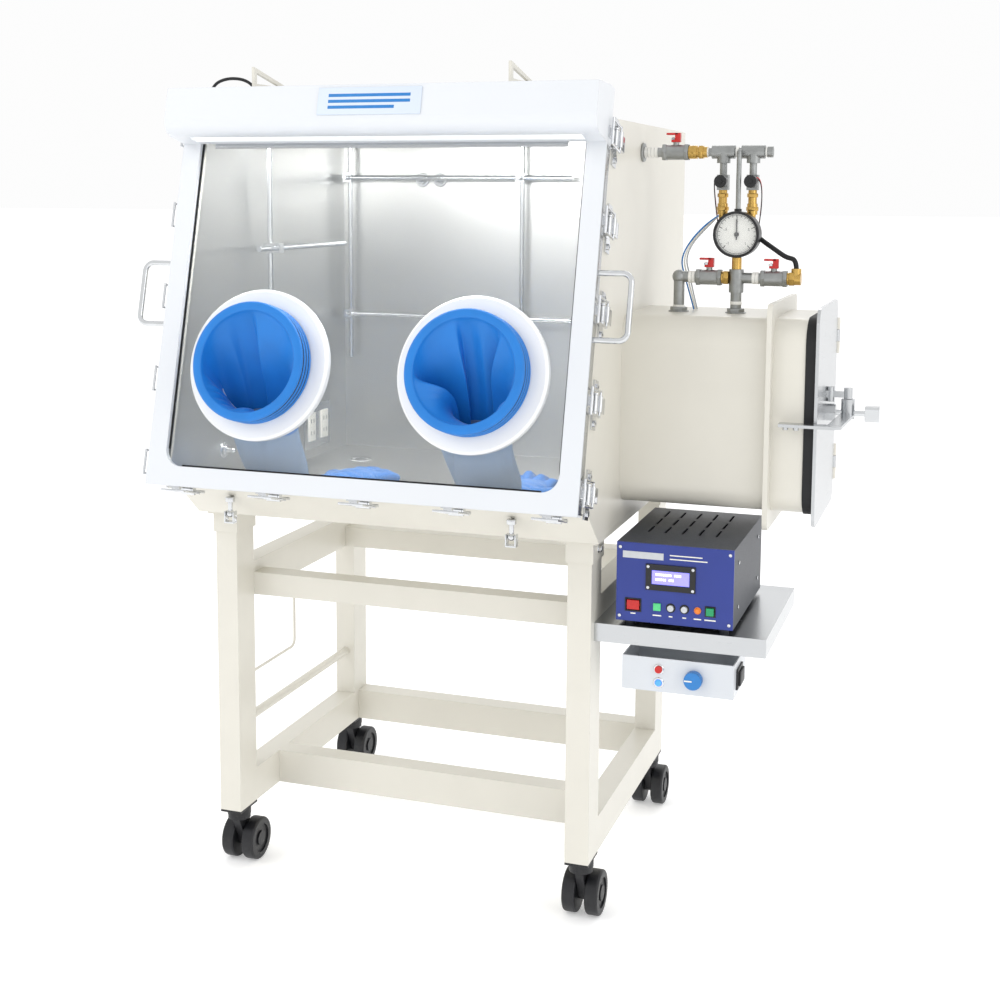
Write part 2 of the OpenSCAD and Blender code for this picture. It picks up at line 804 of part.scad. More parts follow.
// Strap that reaches round the door's front edge, with the block for the screw
module door_strap() {
    foot_y = pass_y - door_w / 2 - 2;
    t = 5;
    color(steel) difference() {
        union() {
            rod_z(clamp_x, pass_y, clamp_z - 9, 32, 11);
            translate([0, 0, clamp_z - 6]) linear_extrude(t) {
                polygon([
                    [clamp_x - 11, pass_y], [clamp_x - 17, foot_y], [clamp_x + 5, foot_y - 14],
                    [clamp_x + 11, pass_y]
                ]);
                polygon([
                    [door_x - 52, foot_y], [door_x - 52, foot_y - 22], [clamp_x - 4, foot_y - 22],
                    [clamp_x + 5, foot_y - 14], [clamp_x - 17, foot_y]
                ]);
            }
            for (x = [door_x - 42, door_x - 26])
                rod_z(x, foot_y - 11, clamp_z - 11, 5 + eps, 4.5);
        }
        rod_x(clamp_x - 20, pass_y, clamp_z, 40, 5 + fit);
        rod_z(clamp_x, pass_y, clamp_z + 9, 20, 4 + fit);
    }
}

// Screw that presses on the door's boss, with its square knob
module clamp_screw() {
    color(steel) {
        rod_x(clamp_x - 18, pass_y, clamp_z, 47, 5);
        along_x(clamp_x + 28, 23) translate([pass_y, clamp_z]) difference() {
            square(25, center = true);
            for (a = [0:90:270]) rotate([0, 0, a + 45]) translate([17, 0]) square([4, 40], center = true);
        }
    }
}

// Flap that closes the pass box from inside, hung from its top edge
module inner_door() {
    x = inner_door_x;
    w = pass_w + 14;
    h = pass_h + 14;
    color(steel) difference() {
        union() {
            along_x(x, 3) translate([pass_y, pass_z]) round_rect(w, h, 20);
            rod_y(inner_hinge_x, pass_y - 60, inner_hinge_z, 120, 4.5);
            translate([x - 1, pass_y - 60, pass_z + h / 2 - 12]) cube([4, 120, inner_hinge_z - pass_z - h / 2 + 12]);
            translate([x - 26, pass_y - 40, pass_z - h / 2 + 30]) cube([3, 80, 20]);
            for (j = [-1, 1]) translate([x - 24, pass_y + j * 30 - 3, pass_z - h / 2 + 34]) cube([25, 6, 12]);
        }
        rod_y(inner_hinge_x, pass_y - 61, inner_hinge_z, 122, 2.5 + fit);
    }
}

// ---------------------------------------------------------------- pipes and gauge

module pipe_cross(x, z, w, h) {
    rod_x(x - w / 2, upper_y, z, w, 11);
    rod_z(x, upper_y, z - h, h, 11);
}

// Steel pipes, tees, elbows and valve bodies
module pipework() {
    x0 = wall_x;
    color("darkgray") {
        // upper line, from the chamber's wall to its end plug
        rod_x(x0, upper_y, upper_z, 36, pipe_r);
        rod_x(x0 + 35, upper_y, upper_z, 44, body_r);
        rod_z(x0 + 57, upper_y, upper_z, body_r + 5, 5);
        rod_x(x0 + 110, upper_y, upper_z, 100, pipe_r - 1);
        pipe_cross(x0 + 137, upper_z, 38, 18);
        pipe_cross(x0 + 186, upper_z, 38, 18);
        rod_x(x0 + 209, upper_y, upper_z, 9, 9);
        // lower line, on top of the pass box
        rod_z(x0 + 72, pipe_y, pass_top, lower_z - pass_top, 9);
        translate([x0 + 72, pipe_y, lower_z]) sphere(11.5);
        rod_x(x0 + 72, pipe_y, lower_z, 32, 9);
        rod_x(x0 + 101, pipe_y, lower_z, 42, body_r);
        rod_z(x0 + 122, pipe_y, lower_z, body_r + 5, 5);
        rod_z(gauge_x, pipe_y, pass_top, lower_z - pass_top, 9);
        rod_z(gauge_x, pipe_y, lower_z - 24, 38, 12);
        rod_x(gauge_x, pipe_y, lower_z, 42, 9);
        rod_x(gauge_x + 40, pipe_y, lower_z, 43, body_r);
        rod_z(gauge_x + 61, pipe_y, lower_z, body_r + 5, 5);
    }
    // small valves on the two branches, with their round coils
    for (x = [x0 + 137, x0 + 186]) {
        color("silver") {
            rod_z(x, upper_y, upper_z - 38, 20 + eps, 6);
            translate([x - 9, upper_y - 9, upper_z - 62]) cube([18, 18, 25]);
        }
        color("#161616") rod_y(x, upper_y - 23, upper_z - 48, 14 + eps, 10);
    }
    // tube from the upper line forwards and down to the gauge
    color("silver") {
        rod_y(gauge_x, pipe_y, upper_z, upper_y - pipe_y, 4);
        translate([gauge_x, pipe_y, upper_z]) sphere(4);
        rod_z(gauge_x, pipe_y, gauge_z + gauge_r + 4, upper_z - gauge_z - gauge_r - 4, 4);
    }
}

module brass_fittings() {
    x0 = wall_x;
    color("gold") {
        rod_x(x0 + 79, upper_y, upper_z, 14, 11);
        rod_x(x0 + 93, upper_y, upper_z, 17, 9);
        for (x = [x0 + 137, x0 + 186]) {
            rod_z(x, upper_y, upper_z - 84, 22, 7);
            rod_z(x, upper_y, upper_z - 102, 18, 8.5);
            rod_z(x, upper_y, upper_z - 112, 10, 6);
        }
        rod_x(x0 + 143, pipe_y, lower_z, gauge_x - x0 - 155, 10);
        rod_z(gauge_x, pipe_y, lower_z + 14, 19, 8);
        rod_x(gauge_x + 83, pipe_y, lower_z, 22, 10);
        rod_z(gauge_x + 97, pipe_y, lower_z, 17, 8);
    }
}

// Quarter turn in the plane y = 0: from angle a about [x, z]
module quarter_turn(x, z, a, bend, r) {
    translate([x, 0, z]) rotate([90, 0, 0]) rotate([0, 0, a])
        rotate_extrude(angle = 90) translate([bend, 0]) circle(r);
}

// S-shaped tube from a point down to another, across at height z_mid
module s_tube(from, to, z_mid, bend, r) {
    run = norm([to[0] - from[0], to[1] - from[1]]);
    translate([from[0], from[1], 0]) rotate([0, 0, atan2(to[1] - from[1], to[0] - from[0])]) {
        rod_z(0, 0, z_mid + bend, from[2] - z_mid - bend, r);
        quarter_turn(bend, z_mid + bend, 180, bend, r);
        rod_x(bend, 0, z_mid, run - 2 * bend, r);
        quarter_turn(run - bend, z_mid - bend, 0, bend, r);
        rod_z(run, 0, to[2], z_mid - bend - to[2], r);
    }
}

// Black hose from the right branch to the lower line's end, and a thin tube on the left
module hoses() {
    branch_z = upper_z - 112;
    color("#1a1a1a")
        s_tube([wall_x + 186, upper_y, branch_z], [gauge_x + 97, pipe_y, lower_z + 17], branch_z - 38, 30, 4);
    color("#a8c4dc")
        s_tube([wall_x + 137, upper_y, branch_z], [wall_x + 50, upper_y, pass_top], branch_z - 31, 25, 3);
}

module pressure_gauge() {
    depth = 30;
    y = pipe_y - depth / 2;
    color("#161616") difference() {
        union() {
            rod_y(gauge_x, y, gauge_z, depth, gauge_r);
            rod_z(gauge_x, pipe_y, lower_z + 33, gauge_z - lower_z - 33, 7);
            rod_z(gauge_x, pipe_y, gauge_z, gauge_r + 4, 6);
        }
        rod_y(gauge_x, y - 1, gauge_z, 9, gauge_r - 4);
    }
    color("white") {
        rod_y(gauge_x, y + 7.5, gauge_z, 0.5 + eps, gauge_r - 5);
        rod_y(gauge_x, y + 5, gauge_z, 3, 1.5);
    }
}

module gauge_needle() {
    y = pipe_y - 15 + 5;
    color("black") difference() {
        union() {
            rod_y(gauge_x, y, gauge_z, 1.5, 4);
            translate([gauge_x - 1, y, gauge_z - 9]) cube([2, 1.5, 34]);
        }
        rod_y(gauge_x, y - 1, gauge_z, 4, 1.5 + fit);
    }
}

// Red lever on a ball valve's stem; the stem's top is at the origin
module valve_handle() {
    color("red") {
        translate([0, 0, gap]) cylinder(h = 5, r = 7);
        translate([-24, -5, gap + 3]) cube([28, 10, 3]);
        translate([-24, -5, gap + 3]) cube([3, 10, 8]);
    }
}

module upper_valve_handle() {
    translate([wall_x + 57, upper_y, upper_z + body_r + 5]) valve_handle();
}

module left_valve_handle() {
    translate([wall_x + 122, pipe_y, lower_z + body_r + 5]) valve_handle();
}

module right_valve_handle() {
    translate([gauge_x + 61, pipe_y, lower_z + body_r + 5]) valve_handle();
}

// ---------------------------------------------------------------- shelf and controls

// Folded sheet shelf
module shelf() {
    lip = 30;
    t = 2;
    color(steel) translate([shelf_x, shelf_y, shelf_z - lip]) difference() {
        cube([shelf_w, shelf_d, lip]);
        translate([t, t, -1]) cube([shelf_w - 2 * t, shelf_d - 2 * t, lip - t + 1]);
    }
}

// Cover, chassis and feet of the controller
module controller_case() {
    t = 2;
    color("#3a3d42") translate([control_x - control_w / 2, control_y + 3, control_z]) {
        difference() {
            cube([control_w, control_d, control_h]);
            translate([t, -1, t]) cube([control_w - 2 * t, control_d - t + 1, control_h - 2 * t]);
            for (i = [0:4], j = [0:2])
                translate([30 + i * 28, 80 + j * 60, control_h - t - 1]) cube([4, 45, t + 2]);
        }
        for (x = [18, control_w - 18], y = [20, control_d - 20])
            translate([x, y, shelf_z - control_z]) cylinder(h = control_z - shelf_z, r = 8);
    }
}

// X places of the round and square buttons across the controller's face
rocker_x = control_x - 66;
down_x = control_x - 5;
up_x = control_x + 17;
output_x = control_x + 58;
button_z = control_z + 27;
lcd_z = control_z + 75;

module controller_panel() {
    color("#22357f") difference() {
        translate([control_x - control_w / 2, control_y, control_z]) cube([control_w, 3, control_h]);
        translate([control_x - 36, control_y - 1, lcd_z - 11]) cube([60, 5, 22]);
        translate([rocker_x - 11.5, control_y - 1, button_z - 9]) cube([23, 5, 18]);
        translate([output_x - 6.5, control_y - 1, button_z - 6.5]) cube([13, 5, 13]);
        for (x = [down_x, up_x]) rod_y(x, control_y - 1, button_z, 5, 5.5);
        rod_x(rocker_x - 13.5, control_y + 1.5, button_z, 27, 1 + fit);
    }
    color("#111111") translate([control_x - 44, control_y - 1.5, lcd_z - 19]) difference() {
        cube([76, 1.5, 38]);
        translate([8, -1, 8]) cube([60, 4, 22]);
    }
    color("#7060d0") translate([control_x - 36, control_y + 1, lcd_z - 11]) cube([60, 2, 22]);
}

// See-saw switch; its axis runs across the panel
module power_rocker() {
    color("red") {
        translate([rocker_x - 10, control_y - 1.5, button_z - 7.5]) cube([20, 6, 15]);
        rod_x(rocker_x - 13, control_y + 1.5, button_z, 26, 1);
    }
}

module round_button(x) color("white") rod_y(x, control_y - 4, button_z, 9, 5);
module down_button() round_button(down_x);
module up_button() round_button(up_x);

module output_button() {
    color("limegreen") translate([output_x - 6, control_y - 4, button_z - 6]) cube([12, 9, 12]);
}

module supply_box() {
    t = 2;
    color("gainsboro") {
        difference() {
            translate([supply_x - supply_w / 2, supply_y, supply_z]) cube([supply_w, supply_d, supply_h]);
            translate([supply_x - supply_w / 2 + t, supply_y + t, supply_z + t])
                cube([supply_w - 2 * t, supply_d - 2 * t, supply_h]);
            rod_y(supply_x - 30, supply_y - 1, supply_z + 37, 4, 6.5);
            rod_y(supply_x + 27, supply_y - 1, supply_z + 27, 4, 4 + fit);
        }
        for (x = [supply_x - supply_w / 2 + 12, supply_x + supply_w / 2 - 42])
            translate([x, supply_y + supply_d - 14, supply_z + supply_h - 8])
                cube([30, 12, shelf_z - 2 - supply_z - supply_h + 8]);
    }
}

module supply_button() color("red") rod_y(supply_x - 30, supply_y - 4, supply_z + 37, 9, 6);

module supply_knob() {
    color("#2c78c8") {
        rod_y(supply_x + 27, supply_y - 14, supply_z + 27, 14 - gap, 14);
        rod_y(supply_x + 27, supply_y - 1, supply_z + 27, 9, 4);
    }
}

left_frame();
right_frame();
crossbars();
leg_brackets();
side_rods();
caster_plates();
front_left_fork();
front_right_fork();
rear_left_fork();
rear_right_fork();
front_left_wheels();
front_right_wheels();
rear_left_wheels();
rear_right_wheels();
chamber_shell();
chamber_liner();
front_seal();
roof_hinges();
latch_bases();
lattice();
panel_frame();
window_pane();
port_rings();
left_glove();
right_glove();
lamp_housing();
lamp_tube();
panel_handles();
hinge_arms();
latch_keepers();
left_levers();
right_levers();
bottom_levers();
left_bails();
right_bails();
bottom_bails();
pass_box();
pass_seals();
pass_door();
door_strap();
clamp_screw();
inner_door();
pipework();
brass_fittings();
hoses();
pressure_gauge();
gauge_needle();
upper_valve_handle();
left_valve_handle();
right_valve_handle();
shelf();
controller_case();
controller_panel();
power_rocker();
down_button();
up_button();
output_button();
supply_box();
supply_button();
supply_knob();
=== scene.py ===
"""Laboratory glove box: finishes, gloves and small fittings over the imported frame."""
import math

import bmesh
import bpy
from mathutils import Matrix, Vector


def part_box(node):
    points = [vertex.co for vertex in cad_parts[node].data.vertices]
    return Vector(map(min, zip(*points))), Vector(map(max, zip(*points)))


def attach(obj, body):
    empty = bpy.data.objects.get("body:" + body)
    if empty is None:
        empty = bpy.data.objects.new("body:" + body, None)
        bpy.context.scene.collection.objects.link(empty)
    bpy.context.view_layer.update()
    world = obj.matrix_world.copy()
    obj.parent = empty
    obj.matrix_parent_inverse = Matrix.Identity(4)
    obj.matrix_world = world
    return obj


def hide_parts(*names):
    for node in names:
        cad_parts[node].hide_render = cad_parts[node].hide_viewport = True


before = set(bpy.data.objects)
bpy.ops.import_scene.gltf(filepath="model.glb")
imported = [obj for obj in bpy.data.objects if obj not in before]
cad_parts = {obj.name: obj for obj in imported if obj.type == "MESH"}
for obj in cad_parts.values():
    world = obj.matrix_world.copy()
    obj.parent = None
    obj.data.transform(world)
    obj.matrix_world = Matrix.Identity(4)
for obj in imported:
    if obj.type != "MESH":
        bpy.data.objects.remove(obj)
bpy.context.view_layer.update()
STAND, PANEL = "stand_and_chamber", "front_panel"


def low(node):
    """Lowest corner of a node, in millimetres."""
    return Vector(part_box(node)[0]) * 1000


def high(node):
    """Highest corner of a node, in millimetres."""
    return Vector(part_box(node)[1]) * 1000


# ------------------------------------------------------------ camera

yaw, dip, roll = math.radians(18.78), math.radians(6.77), math.radians(0.31)
ahead = Vector((-math.sin(yaw) * math.cos(dip), math.cos(yaw) * math.cos(dip), -math.sin(dip)))
cam_data = bpy.data.cameras.new("view")
cam_data.sensor_width = 36
cam_data.lens = 53.12
cam_data.shift_y = -0.13
cam_data.clip_end = 400
cam = bpy.data.objects.new("view", cam_data)
cam.rotation_mode = "QUATERNION"
cam.location = (0.9361, -2.4912, 1.1931)
cam.rotation_quaternion = (ahead.to_track_quat("-Z", "Y").to_matrix() @ Matrix.Rotation(roll, 3, "Z")).to_quaternion()
bpy.context.scene.collection.objects.link(cam)
bpy.context.scene.camera = cam

# ------------------------------------------------------------ making meshes, in millimetres

IDENTITY = Matrix.Identity(4)


def block(bm, lo, hi, place=IDENTITY):
    lo, hi = Vector(lo), Vector(hi)
    size = Matrix.Diagonal((*(hi - lo), 1))
    bmesh.ops.create_cube(bm, size=1, matrix=place @ Matrix.Translation((lo + hi) / 2) @ size)


def drum(bm, start, end, r, r_end=None, sides=32, place=IDENTITY):
    start, end = Vector(start), Vector(end)
    line = end - start
    turn = line.to_track_quat("Z", "Y").to_matrix().to_4x4()
    bmesh.ops.create_cone(bm, cap_ends=True, segments=sides, radius1=r, radius2=r if r_end is None else r_end,
                          depth=line.length, matrix=place @ Matrix.Translation((start + end) / 2) @ turn)


def ball(bm, at, r, around=20, down=12):
    bmesh.ops.create_uvsphere(bm, u_segments=around, v_segments=down, radius=r, matrix=Matrix.Translation(at))


def turned(bm, profile, place, sides=64):
    """Spins a profile of (radius, height) points round Z."""
    points = [bm.verts.new((r, 0, h)) for r, h in profile]
    edges = [bm.edges.new(pair) for pair in zip(points, points[1:])]
    made = bmesh.ops.spin(bm, geom=points + edges, cent=(0, 0, 0), axis=(0, 0, 1), dvec=(0, 0, 0),
                          angle=math.tau, steps=sides, use_merge=True, use_duplicate=False)
    verts = {v for e in edges for v in e.verts} | {v for g in made["geom_last"] for v in getattr(g, "verts", [g])}
    seen, fresh = set(), list(verts)
    while fresh:
        v = fresh.pop()
        if v in seen:
            continue
        seen.add(v)
        fresh += [e.other_vert(v) for e in v.link_edges]
    bmesh.ops.remove_doubles(bm, verts=list(seen), dist=0.001)
    bmesh.ops.transform(bm, matrix=place, verts=[v for v in seen if v.is_valid])


def wire(name, points, r, mat, body):
    """A bent wire or cable through points."""
    curve = bpy.data.curves.new(name, "CURVE")
    curve.dimensions = "3D"
    curve.bevel_depth = r / 1000
    curve.bevel_resolution = 3
    curve.use_fill_caps = True
    line = curve.splines.new("NURBS")
    line.points.add(len(points) - 1)
    for p, q in zip(line.points, points):
        p.co = (*(Vector(q) / 1000), 1)
    line.use_endpoint_u = True
    line.order_u = 4
    piece = bpy.data.objects.new(name, curve)
    bpy.context.scene.collection.objects.link(piece)
    curve.materials.append(mat)
    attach(piece, body)
    return piece


def piece(name, bm, mats, body, slot, edge=0.0, smooth=35, merge=False):
    """Turns a bmesh in millimetres into an object that rides on a body."""
    if merge:
        bmesh.ops.remove_doubles(bm, verts=bm.verts, dist=0.01)
    if edge:
        sharp = [e for e in bm.edges if len(e.link_faces) == 2 and e.calc_face_angle(0) > 0.6]
        bmesh.ops.bevel(bm, geom=sharp, offset=edge, offset_type="OFFSET", segments=2, profile=0.5,
                        affect="EDGES", material=-1, clamp_overlap=True)
    bmesh.ops.recalc_face_normals(bm, faces=bm.faces)
    bmesh.ops.scale(bm, vec=(0.001,) * 3, verts=bm.verts)
    mesh = bpy.data.meshes.new(name)
    bm.to_mesh(mesh)
    bm.free()
    mesh.shade_smooth()
    mesh.set_sharp_from_angle(angle=math.radians(smooth))
    made = bpy.data.objects.new(name, mesh)
    bpy.context.scene.collection.objects.link(made)
    for mat in mats if isinstance(mats, (list, tuple)) else [mats]:
        mesh.materials.append(mat)
    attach(made, body)
    return made


# ------------------------------------------------------------ finishes


def srgb(code):
    """Linear colour of an sRGB hex value."""
    parts = [int(code[i:i + 2], 16) / 255 for i in (1, 3, 5)]
    return tuple(c / 12.92 if c <= 0.04045 else ((c + 0.055) / 1.055) ** 2.4 for c in parts)


def add(tree, kind, links=None, **values):
    """Adds a node with its settings, its socket values and its links."""
    made = tree.nodes.new(kind)
    for key, value in values.items():
        if key in made.bl_rna.properties:
            setattr(made, key, value)
        else:
            made.inputs[key.replace("_", " ")].default_value = value
    for socket, source in (links or {}).items():
        tree.links.new(made.inputs[socket], source)
    return made


def finish(name, colour, rough, grit, depth, stretch=(1, 1, 1), shade=0.05, patch=70.0, rounding=0.7, **sockets):
    """Grit is the grain's size and depth its relief, in mm; shade is how far the colour drifts over patch mm."""
    mat = bpy.data.materials.new(name)
    mat.use_nodes = True
    tree = mat.node_tree
    skin = tree.nodes["Principled BSDF"]
    place = add(tree, "ShaderNodeTexCoord").outputs["Object"]
    laid = add(tree, "ShaderNodeMapping", {"Vector": place}, Scale=stretch).outputs[0]
    grain = add(tree, "ShaderNodeTexNoise", {"Vector": laid}, Scale=1000 / grit, Detail=3.0, Roughness=0.6).outputs[0]
    base = srgb(colour)
    if shade:
        cloud = add(tree, "ShaderNodeTexNoise", {"Vector": laid}, Scale=1000 / patch, Detail=3.0).outputs[0]
        drift = add(tree, "ShaderNodeMapRange", {"Value": cloud}, From_Min=0.3, From_Max=0.7).outputs[0]
        tone = add(tree, "ShaderNodeMix", {0: drift}, data_type="RGBA")
        tone.inputs[6].default_value = (*[c * (1 - shade) for c in base], 1)
        tone.inputs[7].default_value = (*[min(1, c * (1 + shade)) for c in base], 1)
        tree.links.new(skin.inputs["Base Color"], tone.outputs[2])
    else:
        skin.inputs["Base Color"].default_value = (*base, 1)
    gloss = add(tree, "ShaderNodeMapRange", {"Value": grain}, From_Min=0.25, From_Max=0.75,
                To_Min=rough[0], To_Max=rough[1]).outputs[0]
    round_off = add(tree, "ShaderNodeBevel", samples=4, Radius=rounding / 1000).outputs[0]
    bump = add(tree, "ShaderNodeBump", {"Height": grain, "Normal": round_off}, Strength=1.0, Distance=depth / 1000)
    tree.links.new(skin.inputs["Roughness"], gloss)
    tree.links.new(skin.inputs["Normal"], bump.outputs[0])
    for key, value in sockets.items():
        skin.inputs[key.replace("_", " ")].default_value = value
    return mat


# Polyester powder coat: a faint orange peel a few millimetres across under a satin gloss
ivory_coat = finish("ivory powder coat", "#DAD7CD", (0.34, 0.38), 3.5, 0.001, shade=0.015,
                    Coat_Weight=0.15, Coat_Roughness=0.2)
white_coat = finish("white powder coat", "#DEE1E5", (0.30, 0.31), 3.5, 0.0001, shade=0.008,
                    patch=200, Coat_Weight=0.12, Coat_Roughness=0.25)
light_coat = finish("light grey powder coat", "#D2D6DB", (0.26, 0.34), 3.5, 0.008, shade=0.015,
                    Coat_Weight=0.2, Coat_Roughness=0.15)
# Rolled and brushed 304 sheet: fine lines along the sheet, drawn 3 mm apart so they show, over cloudy rolling marks
brushed_sheet = finish("brushed stainless sheet", "#C2C2C0", (0.32, 0.36), 3.0, 0.0002, stretch=(0.04, 0.04, 1),
                       shade=0.05, patch=220, Metallic=1.0)
# The same sheet with a finer polish, for the doors and the shelf
satin_sheet = finish("satin stainless sheet", "#C3C5C7", (0.24, 0.28), 2.5, 0.0002, stretch=(0.04, 0.04, 1),
                     shade=0.03, patch=220, Metallic=1.0)
# Polished stainless rod and pressed chrome: nearly a mirror, with hairline scuffs
polished_bar = finish("polished stainless bar", "#D3D5D7", (0.10, 0.20), 1.5, 0.002, shade=0.03, patch=20, Metallic=1.0)
chrome_plate = finish("chrome plate", "#D9DBDE", (0.06, 0.16), 2.0, 0.003, shade=0.05, patch=14,
                      rounding=0.5, Metallic=1.0)
# Cast and sandblasted valve bodies and malleable pipe: fine pits about a millimetre across
cast_body = finish("cast stainless", "#9FA1A0", (0.34, 0.50), 1.2, 0.04, shade=0.10, patch=12, Metallic=1.0)
turned_brass = finish("turned brass", "#C8A45C", (0.18, 0.30), 1.0, 0.006, shade=0.08, patch=10,
                      rounding=0.4, Metallic=1.0)
# Sponge rubber seal: dull, with open pores
sponge_rubber = finish("black sponge rubber", "#17181A", (0.62, 0.80), 1.2, 0.05, shade=0.15, patch=15)
# Glass-filled nylon of the casters: fine moulded grain
caster_nylon = finish("moulded nylon", "#15161A", (0.38, 0.52), 1.0, 0.02, shade=0.12, patch=25)
# Chlorosulphonated rubber, dipped and dusted: a soft bloom over a saturated blue
glove_rubber = finish("blue glove rubber", "#1478CC", (0.42, 0.54), 2.2, 0.012, shade=0.06, patch=45, rounding=0.2,
                      Sheen_Weight=0.12, Sheen_Roughness=0.4)
# The sleeve's outer face where it lies low: the same rubber painted pale grey-blue, a painted reflection of the pane in
# front of it
sleeve_painted_reflection = finish("sleeve with painted reflection", "#7F9CC0", (0.48, 0.60), 2.2, 0.012, shade=0.06, patch=60, rounding=0.2)
# Hard ABS mouldings: glossy with a faint flow mark
plate_coat = finish("pale blue plate", "#D3DDEA", (0.26, 0.32), 2.0, 0.003, shade=0.01, Coat_Weight=0.3)
port_plastic = finish("white port moulding", "#F1F2F3", (0.20, 0.28), 5.0, 0.006, shade=0.01, Coat_Weight=0.2)
black_abs = finish("black ABS", "#141518", (0.30, 0.42), 1.0, 0.012, shade=0.08, patch=12)
red_abs = finish("red vinyl", "#C22320", (0.25, 0.36), 1.0, 0.01, shade=0.06, patch=8)
green_abs = finish("green ABS", "#1F9A63", (0.25, 0.34), 1.0, 0.008, shade=0.05, patch=8)
blue_abs = finish("blue ABS", "#2A7CC4", (0.25, 0.34), 1.0, 0.008, shade=0.05, patch=8)
grey_abs = finish("grey ABS", "#C9CCD0", (0.28, 0.36), 1.0, 0.008, shade=0.04, patch=8)
# Wrinkle-finish enamel on the controller's cover, and its screen-printed front
case_enamel = finish("dark wrinkle enamel", "#3B3F47", (0.40, 0.55), 1.4, 0.05, shade=0.08, patch=20)
panel_print = finish("blue printed panel", "#25388C", (0.30, 0.38), 1.5, 0.006, shade=0.05, patch=40)
socket_white = finish("white socket plastic", "#F2F0E6", (0.28, 0.36), 1.5, 0.006, shade=0.02)
# Thread tape wound over the pipe threads: matt white with ragged turns
thread_tape = finish("thread tape", "#EEEDE8", (0.6, 0.75), 1.2, 0.12, stretch=(1, 0.3, 0.3), shade=0.06, patch=6)
dial_card = finish("dial card", "#F4F4EF", (0.45, 0.55), 3.0, 0.004, shade=0.01)


def clear(name, colour, rough, haze):
    """Cast acrylic or glass: thin and clear, with a faint haze and a full gloss."""
    return finish(name, colour, (rough, rough + 0.02), 40.0, 0.002, shade=0.0, rounding=0.4, Alpha=haze)


pane_acrylic = clear("clear acrylic", "#F2F8FA", 0.03, 0.10)
gauge_glass = clear("gauge glass", "#FBFDFE", 0.03, 0.08)


def lit(name, colour, strength):
    """A lamp or display that gives off light of its own, a little uneven."""
    mat = finish(name, colour, (0.25, 0.32), 2.0, 0.004, shade=0.06, patch=6, Emission_Strength=strength)
    mat.node_tree.nodes["Principled BSDF"].inputs["Emission Color"].default_value = (*srgb(colour), 1)
    return mat


tube_glow = lit("lit tube", "#FFFDF6", 2.0)
screen_glow = lit("violet display", "#8C86F2", 0.9)
text_glow = lit("display characters", "#E9E8FF", 1.6)
blue_glow = lit("blue lamp", "#3E7BFF", 1.5)
orange_lamp = lit("orange lamp", "#D9772A", 0.25)
green_lamp = lit("green lamp", "#4FC07A", 0.25)

wears = {
    ivory_coat: ["left_frame", "right_frame", "crossbars", "leg_brackets", "chamber_shell", "roof_hinges",
                 "pass_box", "hinge_arms", "side_rods"],
    white_coat: ["panel_frame", "lamp_housing"],
    light_coat: ["supply_box"],
    brushed_sheet: ["chamber_liner"],
    satin_sheet: ["pass_door", "inner_door", "shelf", "door_strap"],
    polished_bar: ["lattice", "panel_handles", "clamp_screw"],
    chrome_plate: ["latch_bases", "latch_keepers", "left_levers", "right_levers", "bottom_levers",
                   "left_bails", "right_bails", "bottom_bails"],
    cast_body: ["pipework"],
    turned_brass: ["brass_fittings"],
    sponge_rubber: ["front_seal", "pass_seals"],
    caster_nylon: ["caster_plates"] + [f"{c}_{p}" for c in ("front_left", "front_right", "rear_left", "rear_right")
                                       for p in ("fork", "wheels")],
    black_abs: ["hoses", "pressure_gauge", "gauge_needle"],
    port_plastic: ["port_rings"],
    red_abs: ["upper_valve_handle", "left_valve_handle", "right_valve_handle", "power_rocker", "supply_button"],
    grey_abs: ["down_button", "up_button"],
    green_abs: ["output_button"],
    blue_abs: ["supply_knob"],
    case_enamel: ["controller_case"],
    panel_print: ["controller_panel"],
    pane_acrylic: ["window_pane"],
    tube_glow: ["lamp_tube"],
}
for mat, nodes in wears.items():
    for node in nodes:
        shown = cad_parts[node]
        if not shown.material_slots:
            shown.data.materials.append(mat)
        for held in shown.material_slots:
            held.material = mat

# ------------------------------------------------------------ places taken from the frame

# Thicknesses and radii that the frame's boxes don't give
LEAN_DEGREES, PANEL_EDGE, FLOOR_RISE, LINER_SHEET = 14.48, 22, 22, 1.5
RING_R, COLLAR, BORE = 122, 90, 80.4
ARM_X, GAUGE_R, BOSS = 217.6, 37.5, 4

lean = math.radians(LEAN_DEGREES)
panel_y = low("panel_frame").y
panel_z = low("panel_frame").z + PANEL_EDGE * math.sin(lean)
panel_h = (high("panel_frame").z - panel_z) / math.cos(lean)
panel_r = high("panel_frame").x
on_panel = Matrix.Translation((0, panel_y, panel_z)) @ Matrix.Rotation(math.pi / 2 - lean, 4, "X")
port_x = high("port_rings").x - RING_R
port_s = 202
wall_x = high("chamber_shell").x
roof_z = high("chamber_shell").z
floor_z = low("chamber_shell").z + FLOOR_RISE
inner_back = high("chamber_liner").y - LINER_SHEET
inner_x = high("chamber_liner").x - LINER_SHEET


def facing(x, y, z, towards):
    """Place with its Z along towards."""
    return Matrix.Translation((x, y, z)) @ Vector(towards).to_track_quat("Z", "Y").to_matrix().to_4x4()


# ------------------------------------------------------------ gloves


